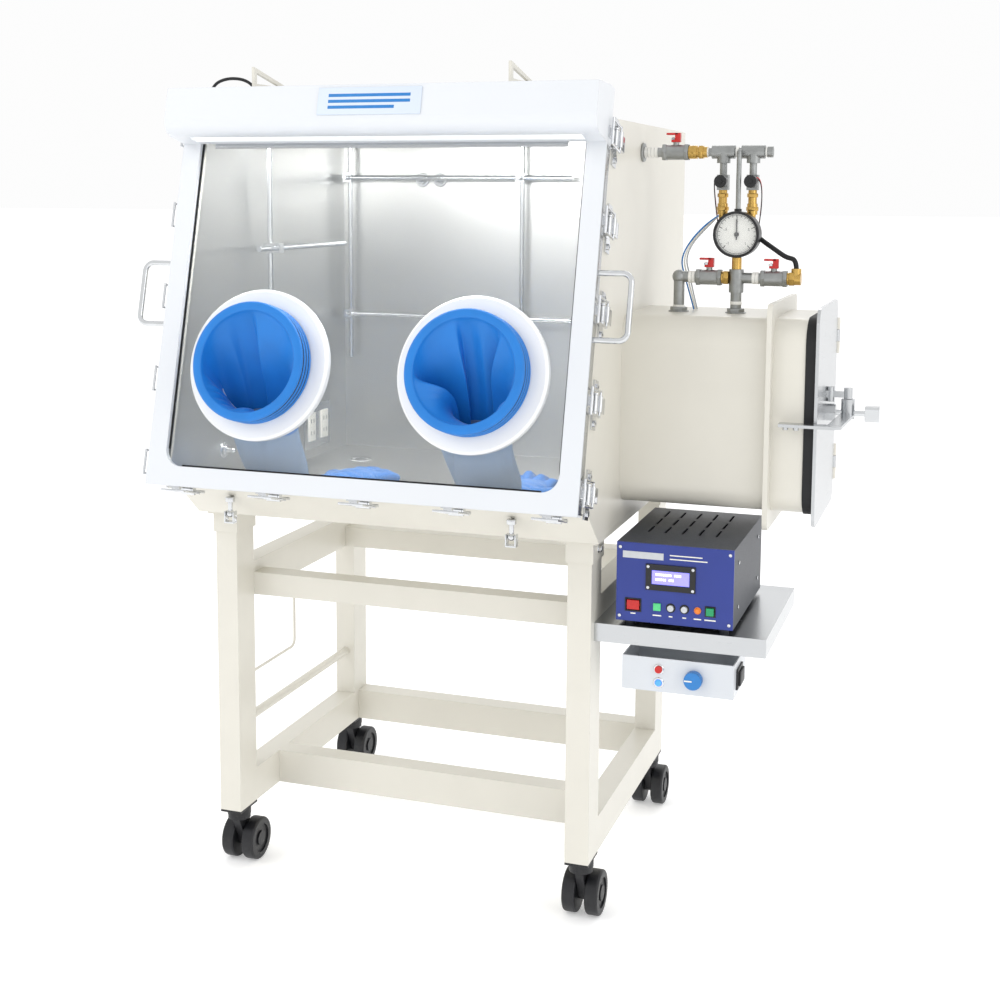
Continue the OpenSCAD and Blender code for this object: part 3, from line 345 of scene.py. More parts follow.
def glove(side, folds, waves, drift, reach, lift):
    """Cuff stretched over a collar, and a sleeve that falls straight from it and lies on the work floor."""
    name = "left_glove" if side < 0 else "right_glove"
    x = side * port_x
    ribs = [(COLLAR + 1, 7)]
    for k in range(3):
        n = 8 + 9 * k
        ribs += [(COLLAR + 5.6, n + 0.8), (COLLAR + 6, n + 4), (COLLAR + 5.4, n + 5.6),
                 (COLLAR + 2.2, n + 6.4), (COLLAR + 2.2, n + 8.2)]
    rim = [(COLLAR + 5.5, 36), (COLLAR + 5.8, 39.5), (COLLAR + 4, 42), (COLLAR + 0.5, 43), (COLLAR - 6.5, 42.8),
           (COLLAR - 8.6, 41.6), (COLLAR - 9.2, 39)]

    def on_port(s, n):
        return on_panel @ Vector((x, port_s + s, n))

    to_port = (on_panel @ Matrix.Translation((x, port_s, 0))).inverted()

    def inside_bore(spot):
        """Keeps the cloth off the bore of the collar that it passes through."""
        at = to_port @ spot
        far = math.hypot(at.x, at.y)
        if at.z > -24 and far > BORE:
            at.x, at.y = at.x * BORE / far, at.y * BORE / far
        return to_port.inverted() @ at

    # Stations of the mouth: its lowest and highest point, each up the panel and out of it,
    # then half its width and how deep its folds are
    mouth = [(-80.6, 36, 79, 36, 80.6, 0.06), (-80.6, 29, 72, 28, 80.4, 0.35), (-80.4, 22, 62, 19, 80, 0.6),
             (-80.2, 13, 50, 9, 79, 0.8), (-80.2, 3, 36, -1, 78, 0.92), (-80.4, -7, 20, -12, 77, 1.0),
             (-82, -16, 3, -23, 75, 1.0), (-88, -24, -15, -34, 72, 1.0),
             (-99, -31, -36, -46, 69, 1.0), (-113, -36, -62, -58, 66, 0.9), (-130, -41, -90, -74, 63, 0.6)]
    stations = []
    for s0, n0, s1, n1, wide, fold in mouth:
        front_edge, back_edge = on_port(s0, n0), on_port(s1, n1)
        stations.append(((front_edge + back_edge) / 2, wide, (back_edge - front_edge) / 2, fold))
    y0 = panel_y + port_s * math.sin(lean)
    # Below the mouth: centre, half its width and height, and fold depth
    path = [(x + drift[0], y0 + 62, floor_z + 84, 60, 32, 0.25),
            (x + drift[0], y0 + 76, floor_z + 62, 56, 29, 0.2),
            (x + drift[1], y0 + 104, floor_z + 42, 50, 26, 0.2),
            (x + (drift[1] + drift[2]) / 2, y0 + 140, floor_z + 27, 42, 19, 0.2),
            (x + drift[2], y0 + 190, floor_z + 19, 34, 14, 0.15),
            (x + (drift[2] + drift[3]) / 2, y0 + 240, floor_z + 15, 29, 12, 0.1)]
    for k, (px, py, pz, wide, tall, fold) in enumerate(path):
        here = Vector((px, py, pz))
        before = Vector(path[k - 1][:3]) if k else here + Vector((0, -6, 30))
        after = Vector(path[min(k + 1, len(path) - 1)][:3])
        line = (after - before).normalized()
        stations.append((here, wide, Vector((1, 0, 0)).cross(line).normalized() * tall, fold))
    bm = bmesh.new()
    sides = 144
    ring = bmesh.ops.create_circle(bm, segments=sides, radius=1)["verts"]
    order = sorted(ring, key=lambda v: math.atan2(v.co.y, v.co.x))
    angles = [math.atan2(v.co.y, v.co.x) for v in order]
    edges = [e for e in bm.edges]

    def shape(verts, spots):
        for v, spot in zip(verts, spots):
            v.co = spot

    def next_ring(verts, edges, skin=0):
        made = bmesh.ops.extrude_edge_only(bm, edges=edges)["geom"]
        fresh = {g for g in made if isinstance(g, bmesh.types.BMVert)}
        step = {v: e.other_vert(v) for v in verts for e in v.link_edges if e.other_vert(v) in fresh}
        for g in made:
            if isinstance(g, bmesh.types.BMFace):
                g.material_index = skin
        rim_edges = [g for g in made if isinstance(g, bmesh.types.BMEdge) and set(g.verts) <= fresh]
        return [step[v] for v in verts], rim_edges

    def fold_at(a, depth):
        """How far the cloth is drawn in at an angle: flat facets that rise to a crease and drop behind it."""
        degrees = math.degrees(a)
        pull = 0.0
        for start, peak, behind, deep, twist in folds:
            crease = peak + twist * depth
            gone = (degrees - crease + 180) % 360 - 180
            rise = abs(crease - start)
            if crease < start:
                gone = -gone
            if gone <= 0 and -gone < rise:
                t = 1 + gone / rise
                pull = max(pull, deep * t * t * (3 - 2 * t) if rise < 30 else deep * t ** 1.3)
            elif 0 < gone < behind:
                t = 1 - gone / behind
                pull = max(pull, deep * t * t * (3 - 2 * t))
        return pull

    first = True
    for r, n in ribs + rim:
        if not first:
            order, edges = next_ring(order, edges)
        first = False
        shape(order, [on_panel @ Vector((x + r * math.cos(a), port_s + r * math.sin(a), n)) for a in angles])
    for k, (c, wide, up, fold) in enumerate(stations):
        # Stations past the tenth take the second slot, the pale painted reflection on the sleeve
        order, edges = next_ring(order, edges, int(k > 9))
        depth = k / (len(stations) - 1)
        spots = []
        for a in angles:
            near = max(0, 1 - abs((math.degrees(a) - waves[0] + 180) % 360 - 180) / waves[1])
            ripple = waves[2] * near * math.sin(15 * a + 3 * k) * max(0, 1 - abs(k - 2.2) / 3.2)
            size = 1 - fold * (fold_at(a, depth) + 0.008 * math.sin(7 * a + 5 * depth)) - abs(ripple)
            spots.append(inside_bore(c + Vector((wide * size * math.cos(a), 0, 0)) + up * (size * math.sin(a))))
        shape(order, spots)
    bands = bmesh.new()
    for k in range(3):
        turned(bands, [(COLLAR + 2, 0), (COLLAR + 4.6, 0.2), (COLLAR + 5.2, 1), (COLLAR + 4.6, 1.8), (COLLAR + 2, 2)],
               on_panel @ Matrix.Translation((x, port_s, 14.3 + 9 * k)), 96)
    piece(name + "_bands", bands, sponge_rubber, PANEL, "black_rubber")
    sleeve = piece(name + "_sleeve", bm, [glove_rubber, sleeve_painted_reflection], PANEL, "glove_blue", smooth=80)
    wall = sleeve.modifiers.new("thickness", "SOLIDIFY")
    wall.thickness = 0.0008
    wall.offset = 0
    soft = sleeve.modifiers.new("smooth", "SUBSURF")
    soft.levels = soft.render_levels = 1

    # Hand: palm, fingers and thumb run together by remeshing
    bm = bmesh.new()
    wrist = Vector((x + (drift[2] + drift[3]) / 2, y0 + 225, floor_z + 19))
    tip = Vector((x + drift[4], y0 + reach * math.cos(lean) - 10, floor_z + 15))
    line = (tip - wrist).normalized()
    along = Vector((line.x, line.y, 0)).normalized()
    across = Vector((0, 0, 1)).cross(along)
    turn = Matrix((along, across, Vector((0, 0, 1)))).transposed().to_4x4()
    for t, wide, tall in ((0, 29, 15), (22, 34, 15), (46, 40, 15), (70, 42, 15), (88, 40, 14)):
        spot = wrist + along * t
        place = Matrix.Translation((spot.x, spot.y, floor_z + 3 + tall)) @ turn
        bmesh.ops.create_uvsphere(bm, u_segments=24, v_segments=14, radius=1,
                                  matrix=place @ Matrix.Diagonal((24, wide, tall, 1)))
    for span, length, curl in ((-30, 46, 9 * lift), (-10, 58, 14 * lift), (10, 62, 18 * lift), (29, 52, 12 * lift)):
        root = wrist + along * 92 + across * span
        spread = along + across * (span * 0.006)
        points = [root, root + spread * length * 0.45, root + spread * length * 0.8, root + spread * length]
        rise = [floor_z + 15, floor_z + 13 + curl, floor_z + 12 + curl * 0.6, floor_z + 10.5]
        for i in range(3):
            a = Vector((points[i].x, points[i].y, rise[i]))
            b = Vector((points[i + 1].x, points[i + 1].y, rise[i + 1]))
            drum(bm, a, b, 10.5 - i * 0.8, 9.9 - i * 0.8, sides=20)
            ball(bm, b, 9.9 - i * 0.8)
    root = wrist + along * 38 + across * (-side * 30)
    for i, (f, s, z, r) in enumerate(((0, 0, 15, 13), (22, -side * 20, 15, 11.5), (46, -side * 30, 13, 10))):
        spot = root + along * f + across * s
        here = Vector((spot.x, spot.y, floor_z + z))
        if i:
            drum(bm, last, here, last_r, r, sides=20)
        ball(bm, here, r)
        last, last_r = here, r
    hand = piece(name + "_hand", bm, glove_rubber, PANEL, "glove_blue", smooth=80)
    fuse = hand.modifiers.new("fuse", "REMESH")
    fuse.mode = "VOXEL"
    fuse.voxel_size = 0.0022
    ease = hand.modifiers.new("ease", "SMOOTH")
    ease.iterations = 10
    ease.factor = 0.6
    still = bpy.data.meshes.new_from_object(hand.evaluated_get(bpy.context.evaluated_depsgraph_get()))
    hand.modifiers.clear()
    hand.data = still
    still.shade_smooth()
    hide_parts(name)
    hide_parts(name)


# Each fold: where its facet starts and ends in degrees round the mouth, how far the cloth takes to drop behind
# the crease, its depth, and how far it turns down the sleeve; then the waves along the rim and where the sleeve goes
glove(-1, ((-50, 85, 7, 0.62, 4), (160, 132, 18, 0.16, 0), (250, 212, 24, 0.14, 6), (250, 266, 14, 0.16, 0)),
      (238, 62, 0.07),
      (-6, -14, 0, 24, 40), 330, 0.35)
glove(1, ((172, 108, 6, 0.52, 6), (92, 74, 16, 0.26, 0), (-40, 46, 8, 0.50, -4), (290, 196, 12, 0.62, -4),
          (300, 325, 16, 0.22, 0)), (200, 40, 0.02),
      (2, -6, -12, -16, -8), 345, 1.0)

# ------------------------------------------------------------ front panel details

# Steel strips on the panel's two edges
bm = bmesh.new()
for i in (-1, 1):
    block(bm, (i * panel_r - 0.4, 3, -20.5), (i * panel_r + 0.4, panel_h - 92, -1.5), on_panel)
piece("edge_strips", bm, satin_sheet, PANEL, "stainless", edge=0.15)

# Reflector strip under the lamp housing
lamp_low = panel_h - 89
bm = bmesh.new()
block(bm, (-panel_r + 60, lamp_low - 8, -1), (panel_r - 60, lamp_low - 0.2, 1.2), on_panel)
piece("reflector_strip", bm, satin_sheet, PANEL, "stainless", edge=0.3)

# Plain name plate
bm = bmesh.new()
block(bm, (-90, lamp_low + 25, 67.6), (84, lamp_low + 69, 70.2), on_panel)
piece("name_plate", bm, plate_coat, PANEL, "stainless", edge=0.5)
bm = bmesh.new()
for k in range(3):
    block(bm, (-72, lamp_low + 34.5 + 9.5 * k, 70), (66 - 26 * (k == 0), lamp_low + 39.5 + 9.5 * k, 70.5), on_panel)
piece("name_plate_band", bm, blue_abs, PANEL, "stainless", edge=0.2)

# Lamp cable: out of the top of the housing and into the head of the frame
arc = [(-318, -8, 8), (-317, 8, 8), (-302, 19, 8), (-276, 22, 5), (-252, 17, 0), (-243, 4, -7), (-243, -8, -10)]
wire("lamp_cable", [on_panel @ Vector((cable_x, panel_h + rise, out)) for cable_x, rise, out in arc], 2.6,
     black_abs, PANEL)

# Dark glazing strip between the frame and the pane
bm = bmesh.new()
w, h0, h1 = panel_r - 32, 32, panel_h - 57
for lo, hi in (((-w + 0.2, h0 + 28, -8.2), (-w + 3.0, h1 - 28, -6.6)),
               ((w - 3.0, h0 + 28, -8.2), (w - 0.2, h1 - 28, -6.6)),
               ((-w + 28, h0 + 0.2, -8.2), (w - 28, h0 + 3.0, -6.6))):
    block(bm, lo, hi, on_panel)
piece("glazing_strip", bm, sponge_rubber, PANEL, "black_rubber", edge=0.3)

# ------------------------------------------------------------ screws


def cap_screw(bm, place, r=4.5, tall=4.0):
    """Socket cap screw with a round socket recess in its head."""
    turned(bm, [(0.001, tall * 0.35), (r * 0.5, tall * 0.35), (r * 0.5, tall), (r * 0.86, tall), (r, tall * 0.84),
                (r, 0), (0.001, 0)], place, 24)


def washer(bm, place, r=7.5):
    turned(bm, [(3, 0.9), (r - 0.4, 0.9), (r, 0.5), (r, 0), (3, 0)], place, 24)


bm = bmesh.new()
leg_x, leg_y = high("left_frame").x - 20, high("left_frame").y - 30
leg_x = abs(leg_x)
stand_top = high("left_frame").z
for i in (-1, 1):
    for j in (-1, 1):
        spot = facing(i * (leg_x + 23), j * leg_y, stand_top - 14, (i, 0, 0))
        washer(bm, spot)
        cap_screw(bm, spot @ Matrix.Translation((0, 0, 0.9)), 5.5, 5)
for i in (-1, 1):
    for j in (-1, 1):
        for x in (i * ARM_X - 11, i * ARM_X + 11):
            cap_screw(bm, facing(x, high("roof_hinges").y - 28 + j * 20, roof_z + 4, (0, 0, 1)), 3.5, 3)
piece("frame_screws", bm, chrome_plate, STAND, "chrome")

bm = bmesh.new()
for i in (-1, 1):
    for k in range(3):
        spot = on_panel @ Vector((i * ARM_X, panel_h - 8 - 10 * k, -22))
        cap_screw(bm, facing(spot.x + 8, spot.y, spot.z, (0, 1, 0)), 3, 3)
piece("arm_screws", bm, chrome_plate, PANEL, "chrome")

# ------------------------------------------------------------ inside the chamber

# Outlet plate with two sockets on the left wall
bm = bmesh.new()
block(bm, (-inner_x, 99, 690), (-inner_x + 3, 211, 778))
piece("outlet_plate", bm, satin_sheet, STAND, "stainless", edge=0.6)
bm = bmesh.new()
for y in (127, 183):
    block(bm, (-inner_x + 2.5, y - 15, 706), (-inner_x + 6, y + 15, 762))
piece("outlet_covers", bm, socket_white, STAND, "white_plastic", edge=0.9)
bm = bmesh.new()
for y in (127, 183):
    for z in (722, 746):
        for d in (-5.5, 5.5):
            block(bm, (-inner_x + 5.4, y + d - 1, z - 4), (-inner_x + 6.2, y + d + 1, z + 4))
piece("outlet_slots", bm, black_abs, STAND, "black_plastic")

# Gas nozzles: hose tails on the left wall and high on the back wall
tail = [(0.001, 24), (3, 24), (4.6, 20), (3.4, 19), (4.8, 14), (3.6, 13), (5, 8), (7.5, 8), (8.5, 6.5), (8.5, 3),
        (13, 3), (14, 2), (14, 0), (0.001, 0)]
bm = bmesh.new()
turned(bm, tail, facing(-inner_x, -217, 744, (1, 0, 0)), 32)
for x in (-178, -140):
    turned(bm, tail, facing(x, inner_back, 1222, (0, -1, 0)), 32)
piece("gas_nozzles", bm, polished_bar, STAND, "stainless")

# Floor drain with its strainer slots
bm = bmesh.new()
turned(bm, [(0.001, 0.6), (15, 0.6), (16, 1.6), (21, 1.6), (22, 1), (22, 0), (0.001, 0)],
       facing(-250, 142, floor_z, (0, 0, 1)), 40)
piece("floor_drain", bm, polished_bar, STAND, "stainless")
bm = bmesh.new()
for k in range(-2, 3):
    half = 10 - abs(k) * 2
    block(bm, (-250 + k * 5 - 1, 142 - half, floor_z + 0.5), (-250 + k * 5 + 1, 142 + half, floor_z + 0.9))
piece("drain_slots", bm, black_abs, STAND, "black_plastic")

# Thumb screws on the lattice clamps
bm = bmesh.new()
thumb = [(0.001, 12), (4, 12), (5, 11), (5, 6), (4, 5), (2.5, 5), (2.5, 0), (0.001, 0)]
for x in (-wall_x + 27, -wall_x + 395):
    for z in (roof_z - 86, roof_z - 362):
        turned(bm, thumb, facing(x, inner_back - 39, z, (0, -1, 0)), 24)
turned(bm, thumb, facing(-inner_x + 24, -87, roof_z - 217, (0, -1, 0)), 24)
piece("clamp_thumb_screws", bm, polished_bar, STAND, "stainless")

# ------------------------------------------------------------ gauge

gauge_x, gauge_y, gauge_z = 522.5, low("pressure_gauge").y, high("pressure_gauge").z - GAUGE_R - BOSS
dial = facing(gauge_x, gauge_y, gauge_z, (0, -1, 0))
bm = bmesh.new()
turned(bm, [(0.001, -7.2), (33.4, -7.2), (33.4, -7.6), (0.001, -7.6)], dial, 64)
piece("dial_face", bm, dial_card, STAND, "white_plastic")
bm = bmesh.new()
for k in range(-10, 11):
    turn = dial @ Matrix.Rotation(math.radians(13.5 * k), 4, "Z")
    long = 5.5 if k % 5 == 0 else 3.2
    block(bm, (-0.35 if k % 5 else -0.6, 31 - long, -7.25), (0.35 if k % 5 else 0.6, 31, -7.0), turn)
turned(bm, [(31.2, -7.0), (31.9, -7.0), (31.9, -7.3), (31.2, -7.3)], dial, 64)
piece("dial_marks", bm, black_abs, STAND, "black_plastic")
bm = bmesh.new()
turned(bm, [(33.6, -1.0), (33.6, 1.2), (36.4, 1.6), (37.7, 0.4), (37.9, -3), (37.6, -3.2)], dial, 64)
piece("gauge_bezel", bm, black_abs, STAND, "black_plastic")
bm = bmesh.new()
turned(bm, [(0.001, -1.2), (33.5, -1.2), (33.5, -2.2), (0.001, -2.2)], dial, 64)
piece("gauge_glass", bm, gauge_glass, STAND, "clear_pane")
for k, word in enumerate(("-1", "-.5", "0", ".5", "1")):
    text = bpy.data.curves.new("figure", "FONT")
    text.body = word
    text.size = 0.0062
    text.align_x = text.align_y = "CENTER"
    text.extrude = 0.0001
    turn = math.radians(-(k - 2) * 67.5)
    spot = dial @ Vector((-math.sin(turn) * 20.5, math.cos(turn) * 20.5, -7.05))
    holder = bpy.data.objects.new("figure", text)
    bpy.context.scene.collection.objects.link(holder)
    flat = bpy.data.meshes.new_from_object(holder.evaluated_get(bpy.context.evaluated_depsgraph_get()))
    bpy.data.objects.remove(holder)
    flat.transform(Matrix.Translation(spot / 1000) @ Matrix.Rotation(math.pi / 2, 4, "X"))
    flat.materials.clear()
    flat.materials.append(black_abs)
    figure = bpy.data.objects.new(f"dial_figure_{k}", flat)
    bpy.context.scene.collection.objects.link(figure)
    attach(figure, STAND)

# ------------------------------------------------------------ pipe details

pipe_y, upper_y = -72, -46
upper_z, lower_z, pass_top = roof_z - 47, 1060, 1002
x0 = wall_x
bm = bmesh.new()
for x, y, z, r, wound in ((x0 + 4, upper_y, upper_z, 8.8, 4), (x0 + 107, upper_y, upper_z, 8.2, 1),
                          (x0 + 157, upper_y, upper_z, 8.2, 1), (x0 + 206, upper_y, upper_z, 8.2, 1),
                          (x0 + 88, pipe_y, lower_z, 9.8, 2), (gauge_x + 26, pipe_y, lower_z, 9.8, 2)):
    for k in range(wound):
        turned(bm, [(r - 1, 0), (r, 0.4), (r + 0.25, 2), (r - 0.1, 3.4), (r + 0.2, 5), (r - 1, 5.6)],
               facing(x + 5.8 * k, y, z, (1, 0, 0)), 32)
for x, z in ((x0 + 72, pass_top + 6), (gauge_x, pass_top + 14)):
    turned(bm, [(8.6, 0), (9.6, 0.4), (9.8, 3), (9.4, 5.2), (8.6, 5.6)], facing(x, pipe_y, z, (0, 0, 1)), 32)
piece("thread_tape", bm, thread_tape, STAND, "white_plastic")

bm = bmesh.new()
for x in (x0 + 72, gauge_x):
    turned(bm, [(9, 0), (13.5, 0), (14.5, 1), (14.5, 7), (13.5, 8), (9, 8)], facing(x, pipe_y, pass_top, (0, 0, 1)), 6)
    turned(bm, [(9, 0), (16.5, 0), (17, 1), (16.5, 2), (9, 2)], facing(x, pipe_y, pass_top - 0.2, (0, 0, 1)), 32)
for x, y, z in ((x0 + 35, upper_y, upper_z), (x0 + 72, upper_y, upper_z),
                (x0 + 101, pipe_y, lower_z), (x0 + 136, pipe_y, lower_z),
                (gauge_x + 40, pipe_y, lower_z), (gauge_x + 76, pipe_y, lower_z)):
    turned(bm, [(10, 0), (14.2, 0), (15, 0.8), (15, 6.2), (14.2, 7), (10, 7)], facing(x, y, z, (1, 0, 0)), 6)
turned(bm, [(8, 0), (15, 0), (16, 1), (16, 3), (15, 4), (8, 4)], facing(x0, upper_y, upper_z, (1, 0, 0)), 40)
piece("pipe_nuts", bm, cast_body, STAND, "grey_steel", edge=0.3)

bm = bmesh.new()
for x in (x0 + 137, x0 + 186):
    for z, r in ((upper_z - 74, 8.4), (upper_z - 96, 9.6)):
        turned(bm, [(6, 0), (r, 0), (r + 0.7, 0.8), (r + 0.7, 6), (r, 6.8), (6, 6.8)],
               facing(x, upper_y, z, (0, 0, 1)), 6)
for x in (x0 + 84, x0 + 96):
    turned(bm, [(8, 0), (11.5, 0), (12.2, 0.8), (12.2, 7), (11.5, 7.8), (8, 7.8)],
           facing(x, upper_y, upper_z, (1, 0, 0)), 6)
for x in (x0 + 146, gauge_x + 86):
    turned(bm, [(8, 0), (11.5, 0), (12.2, 0.8), (12.2, 8), (11.5, 8.8), (8, 8.8)],
           facing(x, pipe_y, lower_z, (1, 0, 0)), 6)
piece("brass_nuts", bm, turned_brass, STAND, "brass", edge=0.3)

bm = bmesh.new()
for x in (x0 + 137, x0 + 186):
    turned(bm, [(0.001, 9), (3.4, 9), (3.4, 6), (9.6, 6), (10.4, 5.2), (10.4, -8), (0.001, -8)],
           facing(x, upper_y - 23, upper_z - 48, (0, -1, 0)), 40)
piece("valve_coils", bm, black_abs, STAND, "black_plastic")
for i, x in enumerate((x0 + 137, x0 + 186)):
    s = -1 if i == 0 else 1
    for k, tint in enumerate((red_abs, black_abs)):
        route = [(x + s * 6, upper_y - 14, upper_z - 42 - 3 * k), (x + s * 13, upper_y - 12, upper_z - 40 - 3 * k),
                 (x + s * 16, upper_y + 4, upper_z - 60), (x + s * 13, upper_y + 12, upper_z - 90 - 6 * k),
                 (x + s * 9, upper_y + 14, upper_z - 124)]
        wire(f"coil_lead_{i}_{k}", route, 0.9, tint, STAND)
# Thin signal tubes from the left branch down behind the elbow
for k, tint in enumerate((blue_abs, socket_white, grey_abs)):
    route = [(x0 + 132, upper_y - 6, upper_z - 104), (x0 + 112, upper_y - 8 + 3 * k, upper_z - 116 - 4 * k),
             (x0 + 78 + 3 * k, upper_y + 6, upper_z - 150), (x0 + 66 + 4 * k, upper_y + 12, upper_z - 180),
             (x0 + 70 + 5 * k, upper_y + 14, lower_z + 8), (x0 + 84 + 3 * k, upper_y + 12, pass_top + 22),
             (x0 + 90 + 3 * k, upper_y + 12, pass_top + 1)]
    wire(f"signal_tube_{k}", route, 1.3, tint, STAND)
# Black hose from the right branch, behind the gauge, to the end of the lower line
route = [(x0 + 186, upper_y, upper_z - 108), (x0 + 186, upper_y, upper_z - 128), (x0 + 200, upper_y - 4, upper_z - 142),
         (gauge_x + 62, pipe_y + 4, gauge_z - 24), (gauge_x + 84, pipe_y, gauge_z - 40),
         (gauge_x + 96, pipe_y, lower_z + 34), (gauge_x + 97, pipe_y, lower_z + 16)]
black_hose = wire("branch_hose", route, 4, sponge_rubber, STAND)
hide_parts("hoses")

# Red vinyl-dipped valve levers with a short arm
for name, at in (("upper", (x0 + 57, upper_y, upper_z)), ("left", (x0 + 122, pipe_y, lower_z)),
                 ("right", (gauge_x + 61, pipe_y, lower_z))):
    stem = Matrix.Translation((at[0], at[1], at[2] + 16))
    bm = bmesh.new()
    block(bm, (-7.5, -5.5, 0.4), (7.5, 5.5, 4.5), stem)
    block(bm, (-1.5, -5.5, 4), (7.5, 5.5, 16), stem)
    block(bm, (-16, -5.5, 12.5), (4, 5.5, 16), stem)
    lever = piece(f"{name}_lever", bm, red_abs, f"{name}_valve_handle", "red_plastic", edge=0.8)
    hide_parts(f"{name}_valve_handle")
    bm = bmesh.new()
    turned(bm, [(0.001, 4.5), (3, 4.5), (4.4, 3.8), (4.4, 0.4), (0.001, 0.4)],
           facing(at[0] - 4.6, at[1], at[2] + 20, (0, 0, 1)), 6)
    piece(f"{name}_handle_nut", bm, chrome_plate, f"{name}_valve_handle", "chrome")

# ------------------------------------------------------------ controller

front = low("controller_panel").y + 1.5
cx = (low("controller_panel").x + high("controller_panel").x) / 2
cz = low("controller_panel").z
bm = bmesh.new()
block(bm, (cx - 36.5, front - 1.2, cz + 63.5), (cx + 24.5, front - 0.4, cz + 86.5))
piece("display_glass", bm, screen_glow, STAND, "panel_blue", edge=0.2)
bm = bmesh.new()
for row, marks in ((80, (9, 4)), (72, (6, 3)), (66, ())):
    x = cx - 33
    for k in range(sum(marks)):
        x += 2.9
        if k == (marks[0] if marks else 0):
            x += 4
        block(bm, (x, front - 1.4, cz + row - 2), (x + 2.1, front - 1.1, cz + row + 1.6))
piece("display_characters", bm, text_glow, STAND, "panel_blue")
bm = bmesh.new()
for lo, hi in (((cx - 46, cz + 87), (cx + 34, cz + 96)), ((cx - 46, cz + 54), (cx + 34, cz + 63)),
               ((cx - 46, cz + 63), (cx - 37, cz + 87)), ((cx + 25, cz + 63), (cx + 34, cz + 87))):
    block(bm, (lo[0], front - 2.2, lo[1]), (hi[0], front - 0.1, hi[1]))
piece("display_frame", bm, black_abs, STAND, "black_plastic")
bm = bmesh.new()
for dx in (-42, 30):
    for dz in (58, 92):
        cap_screw(bm, facing(cx + dx, front - 2.2, cz + dz, (0, -1, 0)), 2.4, 1.2)
for dx in (-88, 88):
    for dz in (8, 120):
        cap_screw(bm, facing(cx + dx, front, cz + dz, (0, -1, 0)), 2.6, 1.8)
piece("controller_screws", bm, chrome_plate, STAND, "chrome")
bm = bmesh.new()
turned(bm, [(0.001, 5), (2.8, 5), (4.2, 3.8), (4.8, 1.6), (5.6, 1.2), (5.6, 0), (0.001, 0)],
       facing(cx + 38, front, cz + 27, (0, -1, 0)), 32)
piece("orange_lamp", bm, orange_lamp, STAND, "red_plastic")
bm = bmesh.new()
block(bm, (cx - 33, front - 3, cz + 21), (cx - 21, front, cz + 33))
piece("green_lamp", bm, green_lamp, STAND, "green_plastic", edge=0.8)
bm = bmesh.new()
for dx in (-5, 17):
    turned(bm, [(5.4, 0.9), (7.2, 0.9), (7.8, 0), (5.4, 0)], facing(cx + dx, front, cz + 27, (0, -1, 0)), 32)
for x, w, h in ((cx - 66, 11.5, 9), (cx + 58, 6.6, 6.6)):
    z, rim = cz + 27, 2
    for left, right, foot, head in ((-w - rim, -w, -h - rim, h + rim), (-w, w, -h - rim, -h),
                                    (w, w + rim, -h - rim, h + rim), (-w, w, h, h + rim)):
        block(bm, (x + left, front - 1, z + foot), (x + right, front, z + head))
piece("button_bezels", bm, black_abs, STAND, "black_plastic", edge=0.2)
# Generic marks: a plain silver bar, and short white bars under the controls
bm = bmesh.new()
block(bm, (cx - 84, front - 0.25, cz + 103), (cx - 18, front, cz + 114))
piece("title_bar", bm, grey_abs, STAND, "white_plastic")
bm = bmesh.new()
for dx, half in ((-66, 4), (-27, 7), (-5, 3), (17, 3), (38, 6), (58, 9)):
    block(bm, (cx + dx - half, front - 0.2, cz + 12), (cx + dx + half, front, cz + 14))
for dx, half, dz in ((18, 26, 111), (22, 30, 105)):
    block(bm, (cx + dx - half, front - 0.2, cz + dz), (cx + dx + half, front, cz + dz + 1.8))
piece("printed_marks", bm, socket_white, STAND, "white_plastic")
bm = bmesh.new()
for z in (28, 100):
    for y in (40, 230):
        cap_screw(bm, facing(high("controller_case").x, front + y, cz + z, (1, 0, 0)), 3, 2)
piece("cover_screws", bm, chrome_plate, STAND, "chrome")

# ------------------------------------------------------------ supply box

sy = low("supply_box").y
sx = (low("supply_box").x + high("supply_box").x) / 2
sz = low("supply_box").z
bm = bmesh.new()
turned(bm, [(0.001, 5), (3.4, 5), (5, 3.6), (5.4, 1), (0.001, 1)], facing(sx - 30, sy, sz + 15, (0, -1, 0)), 32)
piece("blue_lamp", bm, blue_glow, STAND, "blue_plastic")
bm = bmesh.new()
for z in (15, 37):
    turned(bm, [(6.1, 1.4), (7.8, 1.4), (8.6, 0.6), (8.6, 0), (6.1, 0)], facing(sx - 30, sy, sz + z, (0, -1, 0)), 32)
piece("lamp_bezels", bm, chrome_plate, STAND, "chrome")
bm = bmesh.new()
block(bm, (sx + 14, sy - 14.8, sz + 25.9), (sx + 26, sy - 13.6, sz + 28.1))
piece("knob_pointer", bm, socket_white, "supply_knob", "white_plastic", edge=0.2)
bm = bmesh.new()
for k in range(24):
    turn = facing(sx + 27, sy, sz + 27, (0, -1, 0)) @ Matrix.Rotation(math.tau * k / 24, 4, "Z")
    block(bm, (13.4, -0.7, 2), (14.5, 0.7, 12.5), turn)
piece("knob_grips", bm, blue_abs, "supply_knob", "blue_plastic", edge=0.2)
bm = bmesh.new()
side = high("supply_box").x
block(bm, (side - 0.5, sy + 22, sz + 9), (side + 3, sy + 70, sz + 42))
piece("inlet_flange", bm, black_abs, STAND, "black_plastic", edge=0.8)
bm = bmesh.new()
block(bm, (side + 2.8, sy + 28, sz + 14), (side + 6.5, sy + 64, sz + 37))
piece("inlet_socket", bm, caster_nylon, STAND, "black_plastic", edge=1.2)

# ------------------------------------------------------------ under the front

